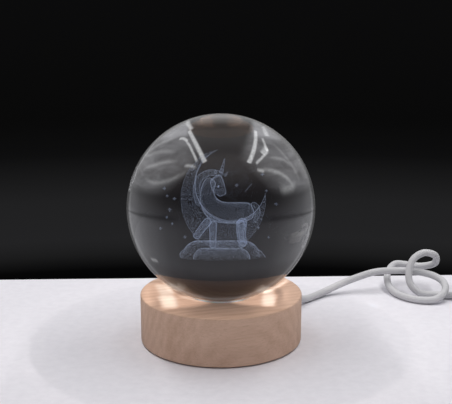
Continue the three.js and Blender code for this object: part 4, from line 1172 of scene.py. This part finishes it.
# The two strips of light are painted reflections of the strip lamps.
strips_of_light = [
    (0.188, -0.678, -59.8, 0.178, 0.0165, 0.3, 0.44), (-0.271, -0.672, 69.3, 0.168, 0.0165, -0.9, 0.44)]
kinds = ((loose, soft_streaks, 2, 1.3), (loose, bright_streaks, 3, 2.5), (level, strips_of_light, 4, 9))
painted = sum(streak_at(place, *row, edge, fullness) for place, rows, edge, fullness in kinds for row in rows)
painted *= blend_in(noise(level, 60.0, 2.0), 0.3, 0.7, 0.8, 1.2)
print("streaks", len(soft_streaks) + len(bright_streaks) + len(strips_of_light))

# %% Put the view through the ball together
inner = (wall + (sideways + cloudy) * (1.0, 0.99, 1.03)) * (1.0 - line)
level_share, down_share = 0.973, 0.23
ring_at, ring_width = 0.405, 0.045
facing = ahead * level_share - up * down_share
rim = ramp(rise, [
    (0.00, (0.300, 0.300, 0.305)), (0.05, (0.270, 0.270, 0.275)), (0.15, (0.195, 0.195, 0.200)),
    (0.22, (0.130, 0.130, 0.133)), (0.30, (0.075, 0.075, 0.077)), (0.42, (0.045, 0.045, 0.047)),
    (0.65, (0.040, 0.039, 0.040)), (0.80, (0.046, 0.038, 0.034)), (1.0, (0.055, 0.041, 0.034)),
])
# A painted bright ring, added to what the ball shows.
ring = bell((facing - ring_at) / ring_width) * blend_in(up, -0.45, 0.0, 0.03, 0.12)
behind = mixed(blend_in(facing, 0.25, 0.36), rim, inner) + (painted + ring)

# %% What other rays see
seen = ramp(rise, [
    (0.3490, (0.0012, 0.0012, 0.0013)), (0.3530, (0.0022, 0.0022, 0.0023)), (0.3580, (0.0100, 0.0100, 0.0103)),
    (0.3660, (0.0165, 0.0165, 0.0175)), (0.3860, (0.0150, 0.0150, 0.0158)), (0.3960, (0.0108, 0.0108, 0.0113)),
    (0.4110, (0.0042, 0.0042, 0.0044)), (0.4280, (0.0028, 0.0028, 0.0028)), (0.5000, (0.0036, 0.0036, 0.0038)),
])
grazing = blend_in(forward, 0.5, 0.9) * blend_in(up, -0.15, 0.10, high=0.20)
overhead = blend_in(up, 0.5, 0.9, high=0.22)
mirrored = blend_in(forward, -0.1, 0.25, 0.05, 0.10) + grazing + overhead
path = add(sky, "LightPath")
others = mixed(path["Is Camera Ray"], mixed(path["Is Glossy Ray"], (0.30, 0.30, 0.31, 1), mirrored), seen)
plain, through = (add(sky, "Background", {"Color": tone, "Strength": 1.0}) for tone in (others, behind))
glow = add(sky, "MixShader", {0: path["Is Transmission Ray"], 1: plain, 2: through})
sky.links.new(glow.socket, sky.nodes.new("ShaderNodeOutputWorld").inputs["Surface"])
print("surroundings", len(sky.nodes), "nodes")

# %% [markdown]
# ## Light gathered by the ball
# The ball focuses the two strips into bright patches on the wood beside its seat. A small lamp low in the
# ball paints them: the place that each of its rays reaches on the wood decides how much light it sends,
# and its natural fall-off with distance is taken back. It moves with the ball: the patches fade when the
# ball is lifted off.

# %% Bright patches on the wood
focus_height = 15 * mm
focus_data = bpy.data.lights.new("focused_light", "POINT")
focus_data.energy = 0.031
focus_data.shadow_soft_size = 0.3 * mm
focus_data.use_nodes = True
focus_tree = focus_data.node_tree
focus_tree.nodes.clear()
ray = add(focus_tree, "SeparateXYZ", {0: add(focus_tree, "TexCoord")["Normal"]})
fall = calc("MAXIMUM", ray["Z"] * -1.0, 0.05)
scale = focus_height / mm / fall
spot = add(focus_tree, "CombineXYZ", {"X": ray["X"] * scale, "Y": ray["Y"] * scale})
# Each is (x, y, angle in degrees, reach, width, bend, strength, edge, fullness), in millimetres.
light_patches = [
    (-23.2, -5.5, 99, 18, 3.3, 0.2, 0.78, 4, 3), (-14.4, -12.3, 16.3, 12, 7.5, 0.5, 0.42, 6, 4),
    (-18.2, -4.6, -50.2, 14, 1.3, 2.6, 0.34, 2, 3), (-30.4, -3.5, 92, 16, 3.6, 0, 0.30, 3, 2),
    (20.3, -8.2, 88, 12, 2.8, 0, 0.74, 4, 3), (12.9, -11.0, -12.5, 11, 7.0, 0.5, 0.42, 6, 4),
    (12.8, -6.9, 44.4, 11, 1.3, 0.7, 0.34, 2, 3), (25.5, 7.9, 58.5, 13, 1.2, 1.0, 0.95, 2, 2.5),
    (27.4, -6.5, 80, 9, 1.4, 0, 0.12, 2, 1.5), (0, -27, 0, 17, 9, 0, -0.10, 2, 1.5),
]
painted = sum(streak_at(spot, *patch) for patch in light_patches)
outward = add(focus_tree, "VectorMath", {0: spot}, operation="LENGTH")["Value"]
painted += blend_in(outward, 12, 29, 0.04, 0.26)
bleached = mixed(blend_in(painted, 0.55, 1.0), (1, 0.93, 0.87, 1), (0.80, 0.93, 1.0, 1))
painted *= blend_in(outward, 46, 35.5) * calc("LESS_THAN", ray["Z"], -0.2)
shine = add(focus_tree, "Emission", {"Color": bleached, "Strength": painted / calc("POWER", fall, 3.0)})
focus_tree.links.new(shine.socket, focus_tree.nodes.new("ShaderNodeOutputLight").inputs["Surface"])
focus = in_scene("focused_light", focus_data)
focus.location = (0, 0, base_top + focus_height)
focus.parent = ball
focus.visible_glossy = focus.visible_transmission = False
print("patches", len(light_patches))
